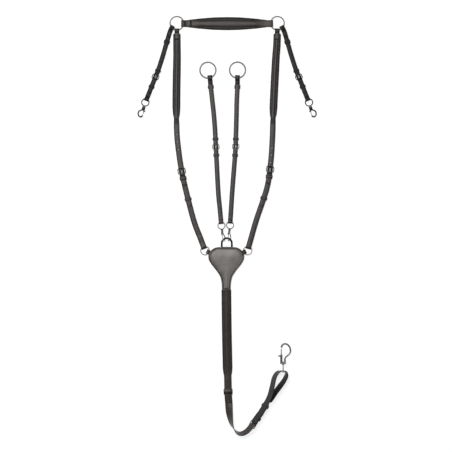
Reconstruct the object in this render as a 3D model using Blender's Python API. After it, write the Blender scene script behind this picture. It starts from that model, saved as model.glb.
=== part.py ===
"""Hunting breastplate laid out flat: padded neck straps, saddle, fork and girth straps, rings and snaps.

Lengths below are in millimetres and become metres where a mesh is made. X runs across the horse, Y runs up
towards the withers and Z is away from the horse. The origin is on the flat back of the chest plate.
"""

import math

import bmesh
import bpy
from mathutils import Matrix, Vector

MM = 0.001

# Leather
STRAP_T = 2.6
STRAP_Z = 2.4
STRAP_MID = STRAP_Z + STRAP_T / 2
FOLD_WALL = 1.9
EDGE = 0.45
GAP = 0.3
BORE_FIT = 0.35
SADDLE_HALF = 8.0
SHOULDER_HALF = 9.5
GIRTH_HALF = 12.5
HOLE_R = 1.9
SADDLE_CHAPE = 26.0
SHOULDER_CHAPE = 34.0

# Rings, as centre-line radius and wire radius
UPPER_RING = (22.4, 2.3)
FORK_RING = (26.2, 2.7)
CHEST_RING = (14.2, 1.6)
RING_Z = 6.4

# Buckles
BAR_R = 1.3
BUCKLE_LENGTH = 17.0
BUCKLE_RISE = 2.6
HEEL_Z = STRAP_Z + 1.6
BAR_FIT = 0.25
SADDLE_BUCKLE_LENGTH = 15.0
BUCKLE_CORNER = 3.2
TONGUE_WIRE = 1.0
TONGUE_SLOT_HALF = 1.7

for old in list(bpy.data.objects):
    bpy.data.objects.remove(old, do_unlink=True)

PARTS = bpy.data.collections.new("Hunting_Breastplate")
bpy.context.scene.collection.children.link(PARTS)
CUTTERS = bpy.data.collections.new("Cutters")
CUTTERS.hide_render = True
bpy.context.scene.collection.children.link(CUTTERS)


def material(name, colour, metallic, roughness):
    """One Principled material for one piece."""
    made = bpy.data.materials.new(name)
    made.use_nodes = True
    shader = made.node_tree.nodes["Principled BSDF"]
    shader.inputs["Base Color"].default_value = (*colour, 1.0)
    shader.inputs["Metallic"].default_value = metallic
    shader.inputs["Roughness"].default_value = roughness
    made.diffuse_color = (*colour, 1.0)
    return made


LEATHER = ((0.035, 0.032, 0.031), 0.0, 0.5)
STEEL = ((0.62, 0.61, 0.6), 1.0, 0.22)
GUNMETAL = ((0.1, 0.095, 0.09), 1.0, 0.32)


def add_part(name, mesh, look):
    """A visible sub-part with its own material."""
    obj = bpy.data.objects.new(name, mesh)
    PARTS.objects.link(obj)
    mesh.materials.append(material(name + "_material", *look))
    return obj


def add_helper(name, mesh):
    """A hidden mesh for a Boolean."""
    obj = bpy.data.objects.new(name, mesh)
    CUTTERS.objects.link(obj)
    obj.hide_render = True
    obj.display_type = "WIRE"
    return obj


def boolean(obj, other, operation):
    """Cuts or joins another mesh with the exact solver."""
    modifier = obj.modifiers.new(other.name, "BOOLEAN")
    modifier.operation = operation
    modifier.solver = "EXACT"
    modifier.object = other


def mesh_from(name, build):
    """A mesh in metres from a function that fills a bmesh in millimetres."""
    made = bmesh.new()
    build(made)
    bmesh.ops.recalc_face_normals(made, faces=made.faces)
    bmesh.ops.scale(made, vec=(MM, MM, MM), verts=made.verts)
    mesh = bpy.data.meshes.new(name)
    made.to_mesh(mesh)
    made.free()
    return mesh


def loft(made, rings, capped=True):
    """Skins a list of point rings; a closed tube when not capped."""
    rows = [[made.verts.new(point) for point in ring] for ring in rings]
    pairs = list(zip(rows, rows[1:]))
    if not capped:
        pairs.append((rows[-1], rows[0]))
    for low, high in pairs:
        for i in range(len(low)):
            j = (i + 1) % len(low)
            made.faces.new((low[i], low[j], high[j], high[i]))
    if capped:
        made.faces.new(rows[0])
        made.faces.new(list(reversed(rows[-1])))


class Path:
    """A smooth plan curve through a few points, measured by its length, with a tilt along it."""

    def __init__(self, points, tilts=((0.0, 0.0),), lifts=((0.0, STRAP_MID),), steps=12):
        pts = [Vector((p[0], p[1], 0.0)) for p in points]
        pts = [2 * pts[0] - pts[1]] + pts + [2 * pts[-1] - pts[-2]]
        self.dense = [pts[1]]
        for k in range(1, len(pts) - 2):
            p0, p1, p2, p3 = pts[k - 1 : k + 3]
            slope = p2 - p0
            bend = 2 * p0 - 5 * p1 + 4 * p2 - p3
            ease = 3 * p1 - p0 - 3 * p2 + p3
            for step in range(1, steps + 1):
                t = step / steps
                self.dense.append(p1 + (slope * t + bend * t**2 + ease * t**3) / 2)
        self.marks = [0.0]
        for a, b in zip(self.dense, self.dense[1:]):
            self.marks.append(self.marks[-1] + (b - a).length)
        self.length = self.marks[-1]
        self.tilts = tilts
        self.lifts = lifts

    def point(self, u):
        """Position at length u, running straight on beyond either end."""
        k = 1
        while k < len(self.marks) - 1 and self.marks[k] < u:
            k += 1
        share = (u - self.marks[k - 1]) / (self.marks[k] - self.marks[k - 1])
        return self.dense[k - 1].lerp(self.dense[k], share)

    def frame(self, u):
        """The matrix with x along the strap, y to its left and z out of its face."""
        along = (self.point(u + 2.0) - self.point(u - 2.0)).normalized()
        turn = Matrix.Rotation(math.radians(between(self.tilts, u)[0]), 4, "X")
        side = Vector((0, 0, 1)).cross(along)
        base = Matrix((along, side, (0, 0, 1))).transposed().to_4x4()
        middle = self.point(u) + Vector((0, 0, between(self.lifts, u)[0]))
        return Matrix.Translation(middle) @ base @ turn @ Matrix.Translation((0, 0, -STRAP_MID))

    def nearest(self, x, y):
        """The length at which the curve passes closest to a point."""
        target = Vector((x, y, 0.0))
        best = min(range(len(self.dense)), key=lambda k: (self.dense[k] - target).length)
        options = [self.marks[best] + d * 0.25 for d in range(-60, 61)]
        return min(options, key=lambda u: (self.point(u) - target).length)


def between(table, u):
    """The values of a table of (u, value, ...) rows at u."""
    if u <= table[0][0]:
        return table[0][1:]
    for low, high in zip(table, table[1:]):
        if u <= high[0]:
            share = (u - low[0]) / (high[0] - low[0])
            return tuple(a + (b - a) * share for a, b in zip(low[1:], high[1:]))
    return table[-1][1:]


def slab(half, low, high, crown=0.0, edge=EDGE):
    """A strap's cross-section: chamfered edges and an optional raised middle."""
    e = min(edge, half / 3, (high - low) / 3)
    points = [(-half, low + e), (-half + e, low), (half - e, low), (half, low + e)]
    points += [(half, high - e), (half - e, high)]
    if crown:
        points += [(half * 0.5, high + crown * 0.8), (0.0, high + crown)]
        points += [(-half * 0.5, high + crown * 0.8)]
    return points + [(-half + e, high), (-half, high - e)]


def strap_mesh(name, path, rows, step=60.0, crown=0.0, edge=EDGE):
    """A strap along a path. Each row is (length, half width, underside, top)."""
    stops = [rows[0][0]]
    for low, high in zip(rows, rows[1:]):
        count = max(1, math.ceil((high[0] - low[0]) / step))
        stops += [low[0] + (high[0] - low[0]) * k / count for k in range(1, count + 1)]

    def build(made):
        rings = []
        for u in stops:
            at = path.frame(u)
            half, low, high = between(rows, u)
            section = slab(half, low, high, crown, edge)
            rings.append([at @ Vector((0.0, y, z)) for y, z in section])
        loft(made, rings)

    return mesh_from(name, build)


def rounded_end(u, half, low, high, direction, length=None):
    """Rows that round off a strap's tip, from the tip to the full width."""
    length = length or half * 0.8
    shares = ((0.0, 0.3), (0.12, 0.62), (0.45, 0.9), (1.0, 1.0))
    rows = [(u - direction * length * a, half * b, low, high) for a, b in shares]
    return rows if direction < 0 else rows[::-1]


def prism(name, at, outline, half):
    """A prism across a strap: an outline in (along, height), half as wide to either side."""

    def build(made):
        rings = [[at @ Vector((x, y, z)) for x, z in outline] for y in (-half, half)]
        loft(made, rings)

    return mesh_from(name, build)


def box_mesh(name, at, low, high):
    """A box between two corners in a frame."""
    outline = [(low[0], low[2]), (high[0], low[2]), (high[0], high[2]), (low[0], high[2])]
    shift = Matrix.Translation((0, (low[1] + high[1]) / 2, 0))
    return prism(name, at @ shift, outline, (high[1] - low[1]) / 2)


def band_mesh(name, at, half, low, high, length, wall, edge=0.5):
    """A keeper: a closed band with a rectangular window, swept along the strap."""

    def corners(extra, e):
        y, z0, z1 = half + extra, low - extra, high + extra
        points = [(-y, z0 + e), (-y + e, z0), (y - e, z0), (y, z0 + e)]
        return points + [(y, z1 - e), (y - e, z1), (-y + e, z1), (-y, z1 - e)]

    def build(made):
        inner, outer = corners(0.0, 0.3), corners(wall, edge + 0.3)
        x = length / 2
        rings = [(-x, inner), (-x, outer), (x, outer), (x, inner)]
        loft(made, [[at @ Vector((a, y, z)) for y, z in ring] for a, ring in rings], False)

    return mesh_from(name, build)


def rod_mesh(name, at, points, radius, sides=8, closed=False, radii=None):
    """A round rod through points in a frame, or a closed ring of them."""
    pts = [Vector(p) for p in points]
    count = len(pts)

    def build(made):
        rings = []
        up = None
        for k, p in enumerate(pts):
            before = pts[(k - 1) % count] if closed or k else p
            after = pts[(k + 1) % count] if closed or k < count - 1 else p
            along = (after - before).normalized()
            if up is None:
                up = along.orthogonal().normalized()
                for axis in (Vector((0, 0, 1)), Vector((0, 1, 0))):
                    if abs(along.dot(axis)) < 0.2:
                        up = axis
                        break
            up = (up - along * up.dot(along)).normalized()
            side = along.cross(up)
            r = radii[k] if radii else radius
            angles = [2 * math.pi * (i + 0.5) / sides for i in range(sides)]
            ring = [p + (up * math.cos(a) + side * math.sin(a)) * r for a in angles]
            rings.append([at @ q for q in ring])
        loft(made, rings, not closed)

    return mesh_from(name, build)


def ring_points(radius, count=28, start=0.0, sweep=360.0):
    """Points of a circle in the frame's XY plane."""
    whole = sweep >= 360.0
    steps = count if whole else count - 1
    turns = [math.radians(start + sweep * k / steps) for k in range(count)]
    return [(radius * math.cos(a), radius * math.sin(a), 0.0) for a in turns]


def cut_all(obj, name, meshes, operation="DIFFERENCE"):
    """Joins separate cutters into one mesh and applies it in one Boolean."""
    made = bmesh.new()
    for mesh in meshes:
        made.from_mesh(mesh)
    whole = bpy.data.meshes.new(name)
    made.to_mesh(whole)
    made.free()
    boolean(obj, add_helper(name, whole), operation)


def turned(x, y, z, angle):
    """A frame at a point, turned about Z."""
    return Matrix.Translation((x, y, z)) @ Matrix.Rotation(math.radians(angle), 4, "Z")


def add_ring(name, x, y, z, size, look):
    """A plain welded ring, lying flat, with its origin at its centre."""
    radius, wire = size
    points = ring_points(radius)
    mesh = rod_mesh(name, Matrix.Identity(4), points, wire, 8, True)
    ring = add_part(name, mesh, look)
    ring.location = Vector((x, y, z)) * MM
    return ring


def ring_bore(name, x, y, z, size, fit=BORE_FIT):
    """The torus a ring needs inside a fold, in world millimetres."""
    radius, wire = size
    at = Matrix.Translation((x, y, z))
    return rod_mesh(name, at, ring_points(radius, 36), wire + fit, 8, True)


def fold_rows(tip, direction, centre, reach, rise, half, body):
    """Rows of a turned end that wraps a bar: tip, round fold, then down to the two stitched layers.

    reach is from the tip to the bar, rise the fold's half height, and body holds rows of
    (length from tip, underside, top).
    """
    rows = []
    for turn in (20.0, 50.0, 90.0):
        a = math.radians(turn)
        h = rise * math.sin(a)
        rows.append((tip + direction * reach * (1 - math.cos(a)), half, centre - h, centre + h))
    rows += [(tip + direction * d, half, low, high) for d, low, high in body]
    return rows if direction > 0 else rows[::-1]


def buckle_frame(path, bar_u, direction):
    """The frame at a buckle's heel bar, x towards its free bar."""
    spin = 0.0 if direction > 0 else 180.0
    return path.frame(bar_u) @ Matrix.Rotation(math.radians(spin), 4, "Z")


def add_buckle(name, at, half, look, length=BUCKLE_LENGTH, heel=HEEL_Z):
    """A roller-less strap buckle: its frame, hung on the heel bar."""
    wide = half + 2 * BAR_R
    slope = BUCKLE_RISE / length
    side = [
        (0.0, wide - BUCKLE_CORNER / 2), (BUCKLE_CORNER / 2, wide), (length - BUCKLE_CORNER, wide),
        (length - 1.0, wide - 1.0), (length, wide - BUCKLE_CORNER),
    ]
    side = [(x, y, slope * x) for x, y in side]
    points = [(x, -y, z) for x, y, z in side[:1]] + side + [(x, -y, z) for x, y, z in side[:0:-1]]
    mesh = rod_mesh(name, Matrix.Identity(4), points, BAR_R, 8, True)
    frame = add_part(name, mesh, look)
    frame.matrix_world = metres(at @ Matrix.Translation((0, 0, heel)))
    return frame


def metres(matrix):
    """The same placement with its position in metres."""
    made = matrix.copy()
    made.translation = matrix.translation * MM
    return made


def pivot(obj, at):
    """Moves a piece's origin onto its joint, without moving the piece."""
    place = metres(at)
    obj.data.transform(place.inverted())
    obj.matrix_world = place


def add_tongue(name, at, look, length=BUCKLE_LENGTH, heel=HEEL_Z, wire=TONGUE_WIRE):
    """The tongue: an eye round the heel bar and an arm that rests on the free bar."""
    eye = BAR_R + BAR_FIT + wire
    turns = [40.0 + 320.0 * k / 11 for k in range(12)]
    turns = [335.0] + turns[-2::-1]
    points = [(eye * math.cos(math.radians(a)), 0, eye * math.sin(math.radians(a))) for a in turns]
    start = Vector(points[-1])
    end = Vector((length + 1.9, 0, BUCKLE_RISE + BAR_R + BAR_FIT + wire + 0.2))
    points += [tuple(start.lerp(end, share)) for share in (0.12, 0.55, 1.0)]
    radii = [wire] * (len(points) - 1) + [wire * 0.75]
    mesh = rod_mesh(name, Matrix.Identity(4), points, wire, 6, False, radii)
    tongue = add_part(name, mesh, look)
    tongue.matrix_world = metres(at @ Matrix.Translation((0, 0, heel)))
    return tongue


def chape_rows(bar_u, direction, half, length, heel=HEEL_Z):
    """Rows of a strap that wraps a heel bar and runs away from the free bar, two layers thick at first."""
    rise = BAR_R + BAR_FIT + 1.6
    tip = bar_u + direction * rise
    two = (STRAP_Z - 0.8, STRAP_Z + 3.4)
    one = (STRAP_Z, STRAP_Z + STRAP_T)
    body = [(rise + 3.0, heel - 2.7, heel + 2.7), (rise + 7.0, *two), (rise + length - 4, *two)]
    body.append((rise + length, *one))
    return fold_rows(tip, -direction, heel, rise, rise, half, body)


def chape_cuts(name, at, half, heel=HEEL_Z):
    """The heel bar's bore and the tongue's slot."""
    r = 1.04 * (BAR_R + BAR_FIT)
    turns = [math.pi * k / 6 for k in range(12)]
    bore = [(r * math.cos(a), heel + r * math.sin(a)) for a in turns]
    low, high = (-4.3, -TONGUE_SLOT_HALF, heel - 6), (6.0, TONGUE_SLOT_HALF, heel + 6)
    slot = box_mesh(name + "_slot", at, low, high)
    return [prism(name + "_bore", at, bore, half + 2), slot]


def billet_rows(bar_u, direction, half, chape, length=BUCKLE_LENGTH, low=STRAP_Z):
    """Rows of the billet from under the free bar, over the heel bar and chape, as (x from the bar)."""
    table = [
        (length + 8, low),
        (length - 2.2, low + 0.05),
        (2.6, 7.05),
        (0.0, 7.5),
        (-3.2, 7.3),
        (-7.6, STRAP_Z + 3.4 + GAP),
        (-chape - 2.0, STRAP_Z + 3.4 + GAP),
        (-chape - 8.0, STRAP_Z + STRAP_T + GAP),
    ]
    rows = [(bar_u + direction * x, half, z, z + STRAP_T) for x, z in table]
    return rows if direction < 0 else rows[::-1]


def tongue_hole(name, at, heel=HEEL_Z):
    """The billet's long punched hole that the tongue comes up through."""
    low, high = (1.3, -TONGUE_SLOT_HALF, heel - 4), (11.8, TONGUE_SLOT_HALF, heel + 9)
    return box_mesh(name, at, low, high)


def punch(name, path, u, radius=HOLE_R, low=-2.0, high=14.0):
    """A round punch through a strap."""
    at = path.frame(u)
    return rod_mesh(name, at, [(0, 0, low), (0, 0, high)], radius, 10)


def fixed_keeper(name, path, u, half, low, high, length=10.0, wall=1.6):
    """A stitched keeper that a strap carries: the strap's own body closes the window's lower side."""
    return band_mesh(name, path.frame(u), half + 0.5, low - 0.5, high + 0.4, length, wall)


SNAP_ARM = (
    (14.0, 4.1), (19.5, 4.2), (25.0, 4.0), (29.5, 6.8), (34.5, 12.6), (39.0, 15.3), (44.5, 15.6),
    (50.0, 13.9), (54.6, 10.3), (56.9, 5.4), (56.0, 0.6), (53.0, -2.4), (48.6, -3.6),
)
SNAP_ARM_R = (1.9, 1.7, 1.6, 1.6, 1.6, 1.6, 1.6, 1.6, 1.6, 1.7, 1.8, 1.9, 1.7)
SNAP_GATE_Y = -3.9
SNAP_GATE_X = 26.0
SNAP_KNOB_X = 31.0
SNAP_COLLAR_X = 13.2
SNAP_EYE = (12.1, 1.8)


def scaled(points, s):
    """Points of a unit-size snap at its real size."""
    return [tuple(c * s for c in p) for p in points]


def add_snap(prefix, eye_at, at, look, s=1.0, eye=SNAP_EYE, oval=None):
    """A swivel bolt snap in three pieces: an eye with its post, a cast hook and a spring bolt with a knob.

    at is the hook's frame: x from the eye's centre to the hook's tip, y in the hook's plane. eye_at is the
    eye's frame, s the size against a snap made 100 mm long at 1.55.
    """
    radius, wire = eye
    ring = oval or ring_points(radius, 24)
    body = add_part(prefix + "_Snap_Eye", rod_mesh("eye", eye_at, ring, wire, 8, True), look)
    reach = max(p[0] for p in ring)
    shift = reach + wire + 0.4 - SNAP_COLLAR_X * s
    at = at @ Matrix.Translation((shift, 0, 0))
    head = rod_mesh("post", eye_at, [(reach, 0, 0), (16.6 * s + shift, 0, 0)], 1.4 * s, 10)
    cap = rod_mesh("cap", eye_at, [(16.4 * s + shift, 0, 0), (18.3 * s + shift, 0, 0)], 2.25 * s, 10)
    boolean(body, add_helper(prefix + "_post", head), "UNION")
    boolean(body, add_helper(prefix + "_cap", cap), "UNION")

    arm = [(x * s, y * s, 0) for x, y in SNAP_ARM]
    arm_mesh = rod_mesh("arm", at, arm, 1, 8, False, [r * s for r in SNAP_ARM_R])
    hook = add_part(prefix + "_Snap_Hook", arm_mesh, look)
    gate = SNAP_GATE_Y * s
    barrel = rod_mesh("barrel", at, [(14.0 * s, gate, 0), (34.0 * s, gate, 0)], 2.75 * s, 10)
    boolean(hook, add_helper(prefix + "_barrel", barrel), "UNION")
    collar = rod_mesh("collar", at, scaled([(SNAP_COLLAR_X, 0, 0), (16.0, 0, 0)], s), 5.6 * s, 14)
    boolean(hook, add_helper(prefix + "_collar", collar), "UNION")
    slot = box_mesh("slot", at, *scaled([(21.4, -9.5, -1.15), (32.6, -3.6, 1.15)], s))
    bore = rod_mesh("bore", at, [(17.4 * s, gate, 0), (36.0 * s, gate, 0)], 1.65 * s, 10)
    boolean(hook, add_helper(prefix + "_bore", bore), "DIFFERENCE")
    boolean(hook, add_helper(prefix + "_slot", slot), "DIFFERENCE")
    hole = rod_mesh("hole", at, scaled([(12.0, 0, 0), (16.25, 0, 0)], s), 1.8 * s, 10)
    pocket = rod_mesh("pocket", at, scaled([(15.9, 0, 0), (18.8, 0, 0)], s), 2.75 * s, 12)
    boolean(hook, add_helper(prefix + "_hole", hole), "DIFFERENCE")
    boolean(hook, add_helper(prefix + "_pocket", pocket), "DIFFERENCE")

    bolt_points = [(SNAP_GATE_X * s, gate, 0), (46.9 * s, gate, 0)]
    bolt = add_part(prefix + "_Snap_Bolt", rod_mesh("bolt", at, bolt_points, 1.25 * s, 8), look)
    knob_at = at @ Matrix.Translation((SNAP_KNOB_X * s, gate, 0)) @ Matrix.Rotation(-math.pi / 2, 4, "Z")
    knob_line = scaled([(0.2, 0, 0), (3.6, 0, 0), (3.9, 0, 0), (5.2, 0, 0), (6.4, 0, 0)], s)
    knob_r = [0.85 * s, 0.85 * s, 2.1 * s, 2.3 * s, 1.5 * s]
    knob = rod_mesh("knob", knob_at, knob_line, 1, 8, False, knob_r)
    boolean(bolt, add_helper(prefix + "_knob", knob), "UNION")
    pivot(body, eye_at)
    pivot(hook, at)
    pivot(bolt, at @ Matrix.Translation((SNAP_GATE_X * s, gate, 0)))
    return body, hook, bolt


STRAP = (STRAP_Z, STRAP_Z + STRAP_T)
ON_TOP = (STRAP_Z + STRAP_T + GAP, STRAP_Z + 2 * STRAP_T + GAP)
TWO_LAYERS = (STRAP_Z, STRAP_Z + 4.2)
EYE_TIP = 5.0
SADDLE_FOLD = 30.0
FORK_FOLD = 17.0
LOWER_FOLD = 22.0


def ring_fold(tip, direction, centre, reach, rise, half, double):
    """Rows of a strap turned round a ring or a snap's eye."""
    body = [(reach + 3.5, centre - rise * 0.9, centre + rise * 0.9)]
    body += [(reach + 13.0, *TWO_LAYERS), (reach + double, *TWO_LAYERS)]
    body.append((reach + double + 3.0, *STRAP))
    return fold_rows(tip, direction, centre, reach, rise, half, body)


def buckled_pair(prefix, points, ring, marks, eye_z, holes, look, double):
    """A saddle or fork strap in two straps and a buckle.

    The upper strap hangs on a ring and ends in the buckle. The lower strap's billet comes up under the free
    bar and over the upper strap, and its other end turns round a snap's eye.

    marks are points at the upper keeper, billet tip, fixed keeper, heel bar and lower keeper. double is how
    far the fold round the ring stays two layers thick, and look is the buckle's metal.
    """
    half = SADDLE_HALF
    path = Path(points)
    upper_u, tip_u, keeper_u, bar_u, lower_u = (path.nearest(*mark) for mark in marks)
    length = SADDLE_BUCKLE_LENGTH
    at = buckle_frame(path, bar_u, 1)
    ring_z, ring_size, reach = ring[2], ring[3], ring[4]

    rise = ring_size[1] + BORE_FIT + FOLD_WALL
    rows = ring_fold(0.0, 1, ring_z, reach, rise, half, double)
    rows += chape_rows(bar_u, 1, half, SADDLE_CHAPE)
    upper = add_part(prefix + "_Upper_Strap", strap_mesh("strap", path, rows), LEATHER)
    keepers = [fixed_keeper("k", path, upper_u, half, STRAP[1], ON_TOP[1], 12.0)]
    keepers.append(fixed_keeper("k", path, keeper_u, half, STRAP_Z + 3.4, STRAP_Z + 3.7 + STRAP_T, 8.0))
    for k, keeper in enumerate(keepers):
        boolean(upper, add_helper(f"{prefix}_keeper_{k}", keeper), "UNION")
    cut_all(upper, prefix + "_chape_cuts", chape_cuts("chape", at, half))
    boolean(upper, add_helper(prefix + "_ring_bore", ring_bore("bore", *ring[:4])), "DIFFERENCE")

    end = path.length
    rise = SNAP_EYE[1] + BORE_FIT + FOLD_WALL
    rows = rounded_end(tip_u, half, *ON_TOP, -1)
    rows += billet_rows(bar_u, 1, half, SADDLE_CHAPE, length)
    rows += ring_fold(end, -1, eye_z, 5.8, rise, half, LOWER_FOLD)
    lower = add_part(prefix + "_Lower_Strap", strap_mesh("strap", path, rows), LEATHER)
    keeper = fixed_keeper("k", path, lower_u, half, STRAP_Z + 1.0, STRAP_Z + STRAP_T + 0.6, 9.0)
    boolean(lower, add_helper(prefix + "_lower_keeper", keeper), "UNION")
    cuts = [tongue_hole("hole", at)]
    cuts += [punch("p", path, path.nearest(*hole)) for hole in holes]
    cut_all(lower, prefix + "_holes", cuts)
    add_buckle(prefix + "_Buckle", at, half, look, length)
    add_tongue(prefix + "_Buckle_Tongue", at, look, length)
    return path, lower


def eye_bore(name, at, size=SNAP_EYE, fit=BORE_FIT):
    """The room a snap's eye needs inside a fold."""
    return rod_mesh(name, at, ring_points(size[0], 36), size[1] + fit, 8, True)


# Rings
RINGS = {
    "Left_Upper_Ring": (-163.4, 787.7, RING_Z, UPPER_RING),
    "Right_Upper_Ring": (168.3, 787.7, RING_Z, UPPER_RING),
    "Left_Fork_Ring": (-61.1, 632.9, RING_Z, FORK_RING),
    "Right_Fork_Ring": (36.6, 633.3, RING_Z, FORK_RING),
    "Left_Chest_Ring": (-70.5, 37.7, 4.5, CHEST_RING),
    "Right_Chest_Ring": (70.1, 37.7, 4.5, CHEST_RING),
}
for ring_name, (x, y, z, size) in RINGS.items():
    add_ring(ring_name, x, y, z, size, STEEL)

# Saddle straps and their snaps
SADDLE_LEFT = (
    (-175.8, 779.6), (-185.2, 762.5), (-195.0, 731.0), (-208.5, 684.0), (-224.0, 636.0),
    (-236.5, 604.6), (-249.0, 573.0), (-265.6, 531.5),
)
SADDLE_MARKS = ((-196.5, 726.0), (-213.5, 665.0), (-225.5, 630.6), (-231.1, 617.3), (-247.0, 578.5))


def mirrored(points, axis=2.45):
    """The same plan points across the upright through the middle of the upper rings."""
    return [(2 * axis - x, y) for x, y in points]


SADDLE_SCALE = 0.83
SADDLE_SNAP_LEAN = 16.1
for side, sign in (("Left", 1), ("Right", -1)):
    prefix = side + "_Saddle"
    plan = SADDLE_LEFT if sign > 0 else mirrored(SADDLE_LEFT)
    marks = SADDLE_MARKS if sign > 0 else mirrored(SADDLE_MARKS)
    ring = (*RINGS[side + "_Upper_Ring"], 7.1)
    path, lower = buckled_pair(prefix, plan, ring, marks, RING_Z, [], GUNMETAL, SADDLE_FOLD)
    end = path.frame(path.length)
    eye_centre = end @ Vector((EYE_TIP, 0, RING_Z))
    snap_at = turned(*eye_centre, -90 - sign * SADDLE_SNAP_LEAN)
    hook_at = snap_at @ Matrix.Rotation(math.pi if sign > 0 else 0.0, 4, "X")
    add_snap(prefix, snap_at, hook_at, GUNMETAL, SADDLE_SCALE)
    boolean(lower, add_helper(prefix + "_eye_bore", eye_bore("bore", snap_at)), "DIFFERENCE")
    pivot(lower, Matrix.Translation(ring[:3]))
    pivot(PARTS.objects[prefix + "_Upper_Strap"], Matrix.Translation(ring[:3]))

# Chest loop, then the fork straps whose snaps hook on it
LOOP_X = 1.3
LOOP_R = 16.6
LOOP_TUBE = 3.2
LOOP_CENTRE_Y = 62.0


def loop_z(y):
    """Height of the loop's tube: it rises away from the plate."""
    return 5.2 + 0.265 * (y - 52.0)


def loop_line():
    """Centre-line and radii of the chest loop: slim feet inside the plate, a round bow outside."""
    bow = [(LOOP_R * math.cos(math.radians(a)), math.sin(math.radians(a))) for a in range(0, 181, 20)]
    arc = [(x, LOOP_CENTRE_Y + LOOP_R * y) for x, y in bow]
    feet = [(15.8, 40.0, 3.9), (16.4, 47.5, 4.1), (16.6, 52.0, loop_z(52.0))]
    points = [(LOOP_X + x, y, z) for x, y, z in feet]
    points += [(LOOP_X + x, y, loop_z(y)) for x, y in arc]
    points += [(LOOP_X - x, y, z) for x, y, z in reversed(feet)]
    radii = [2.1, 2.1, LOOP_TUBE] + [LOOP_TUBE] * len(arc) + [LOOP_TUBE, 2.1, 2.1]
    return points, radii


FORK_SCALE = 0.88
FORK_ROLL = -62.0
FORKS = {
    "Left": {
        "plan": (
            (-55.1, 616.8), (-51.5, 577.5), (-46.2, 529.7), (-40.9, 480.2), (-37.2, 430.0),
            (-35.2, 387.0), (-34.0, 366.3), (-27.1, 234.3),
        ),
        "marks": ((-51.5, 577.5), (-52.0, 586.0), (-35.6, 405.9), (-35.2, 387.0), (-33.4, 352.0)),
        "holes": ((-46.2, 529.7), (-42.6, 505.6), (-40.9, 480.2), (-38.9, 454.4)),
        "bow": -33.0,
        "heading": -82.8,
        "seat": (48.1, 7.4),
    },
    "Right": {
        "plan": (
            (36.6, 617.1), (36.3, 577.5), (34.2, 529.7), (32.7, 460.0), (31.0, 405.9),
            (29.6, 366.3), (19.4, 234.3),
        ),
        "marks": ((36.3, 577.5), (36.4, 586.0), (31.0, 405.9), (30.4, 388.0), (28.6, 352.0)),
        "holes": ((34.2, 529.7), (33.6, 504.6), (33.1, 479.6), (32.6, 454.5)),
        "bow": 25.0,
        "heading": -96.4,
        "seat": (48.6, 3.0),
    },
}
FORK_LIFT = 11.0
FORK_EYE = (11.7, 1.8)
FORK_HINGE_SHARE = 0.4
for side, fork in FORKS.items():
    prefix = side + "_Fork"
    bow = math.radians(fork["bow"])
    tube = Vector((LOOP_X + LOOP_R * math.sin(bow), LOOP_CENTRE_Y + LOOP_R * math.cos(bow), 0))
    tube.z = loop_z(tube.y)
    facing = Matrix.Rotation(math.radians(fork["heading"]), 4, "Z") @ Matrix.Rotation(
        math.radians(-FORK_LIFT), 4, "Y"
    )
    rolled = facing @ Matrix.Rotation(math.radians(FORK_ROLL), 4, "X")
    shift = sum(FORK_EYE) + 0.4 - SNAP_COLLAR_X * FORK_SCALE
    seat_x, seat_y = fork["seat"]
    eye_centre = tube - rolled @ Vector((seat_x * FORK_SCALE + shift, seat_y * FORK_SCALE, 0))
    snap_at = Matrix.Translation(eye_centre) @ facing
    hook_at = Matrix.Translation(eye_centre) @ rolled
    last = Vector(fork["plan"][-1])
    run = (eye_centre.xy - last).normalized()
    stop = eye_centre.xy - run * EYE_TIP
    plan = (*fork["plan"], tuple(last.lerp(stop, 0.5)), tuple(stop))
    ring = (*RINGS[side + "_Fork_Ring"], 8.2)
    holes = fork["holes"]
    path, lower = buckled_pair(prefix, plan, ring, fork["marks"], 5.6, holes, STEEL, FORK_FOLD)
    eye, hook, bolt = add_snap(prefix, snap_at, hook_at, STEEL, FORK_SCALE, FORK_EYE)
    bore = eye_bore("bore", snap_at, FORK_EYE)
    boolean(lower, add_helper(prefix + "_eye_bore", bore), "DIFFERENCE")
    pivot(lower, snap_at)
    pivot(PARTS.objects[prefix + "_Upper_Strap"], snap_at)
    hinge = metres(Matrix.Translation(tube) @ Matrix.Rotation(-bow * FORK_HINGE_SHARE, 4, "Z"))
    hook.data.transform(hinge.inverted() @ hook.matrix_world)
    hook.matrix_world = hinge

# Withers strap: a folded cover over a wider padded lining
WITHERS_Y = 786.6
WITHERS_TIP = 13.9
withers = Path(
    [(RINGS["Left_Upper_Ring"][0] + WITHERS_TIP, WITHERS_Y), (2.45, WITHERS_Y),
     (RINGS["Right_Upper_Ring"][0] - WITHERS_TIP, WITHERS_Y)]
)
mid = withers.length / 2
rise = UPPER_RING[1] + BORE_FIT + FOLD_WALL


def withers_end(tip, direction):
    """Cover rows from one folded end to where the cover lies on the lining."""
    body = [(9.5, RING_Z - 4.0, RING_Z + 4.0), (19.0, 4.6, 8.8), (31.0, 4.6, 8.8), (34.0, 4.6, 7.2)]
    return fold_rows(tip, direction, RING_Z, 6.7, rise, 11.6, body)


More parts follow.
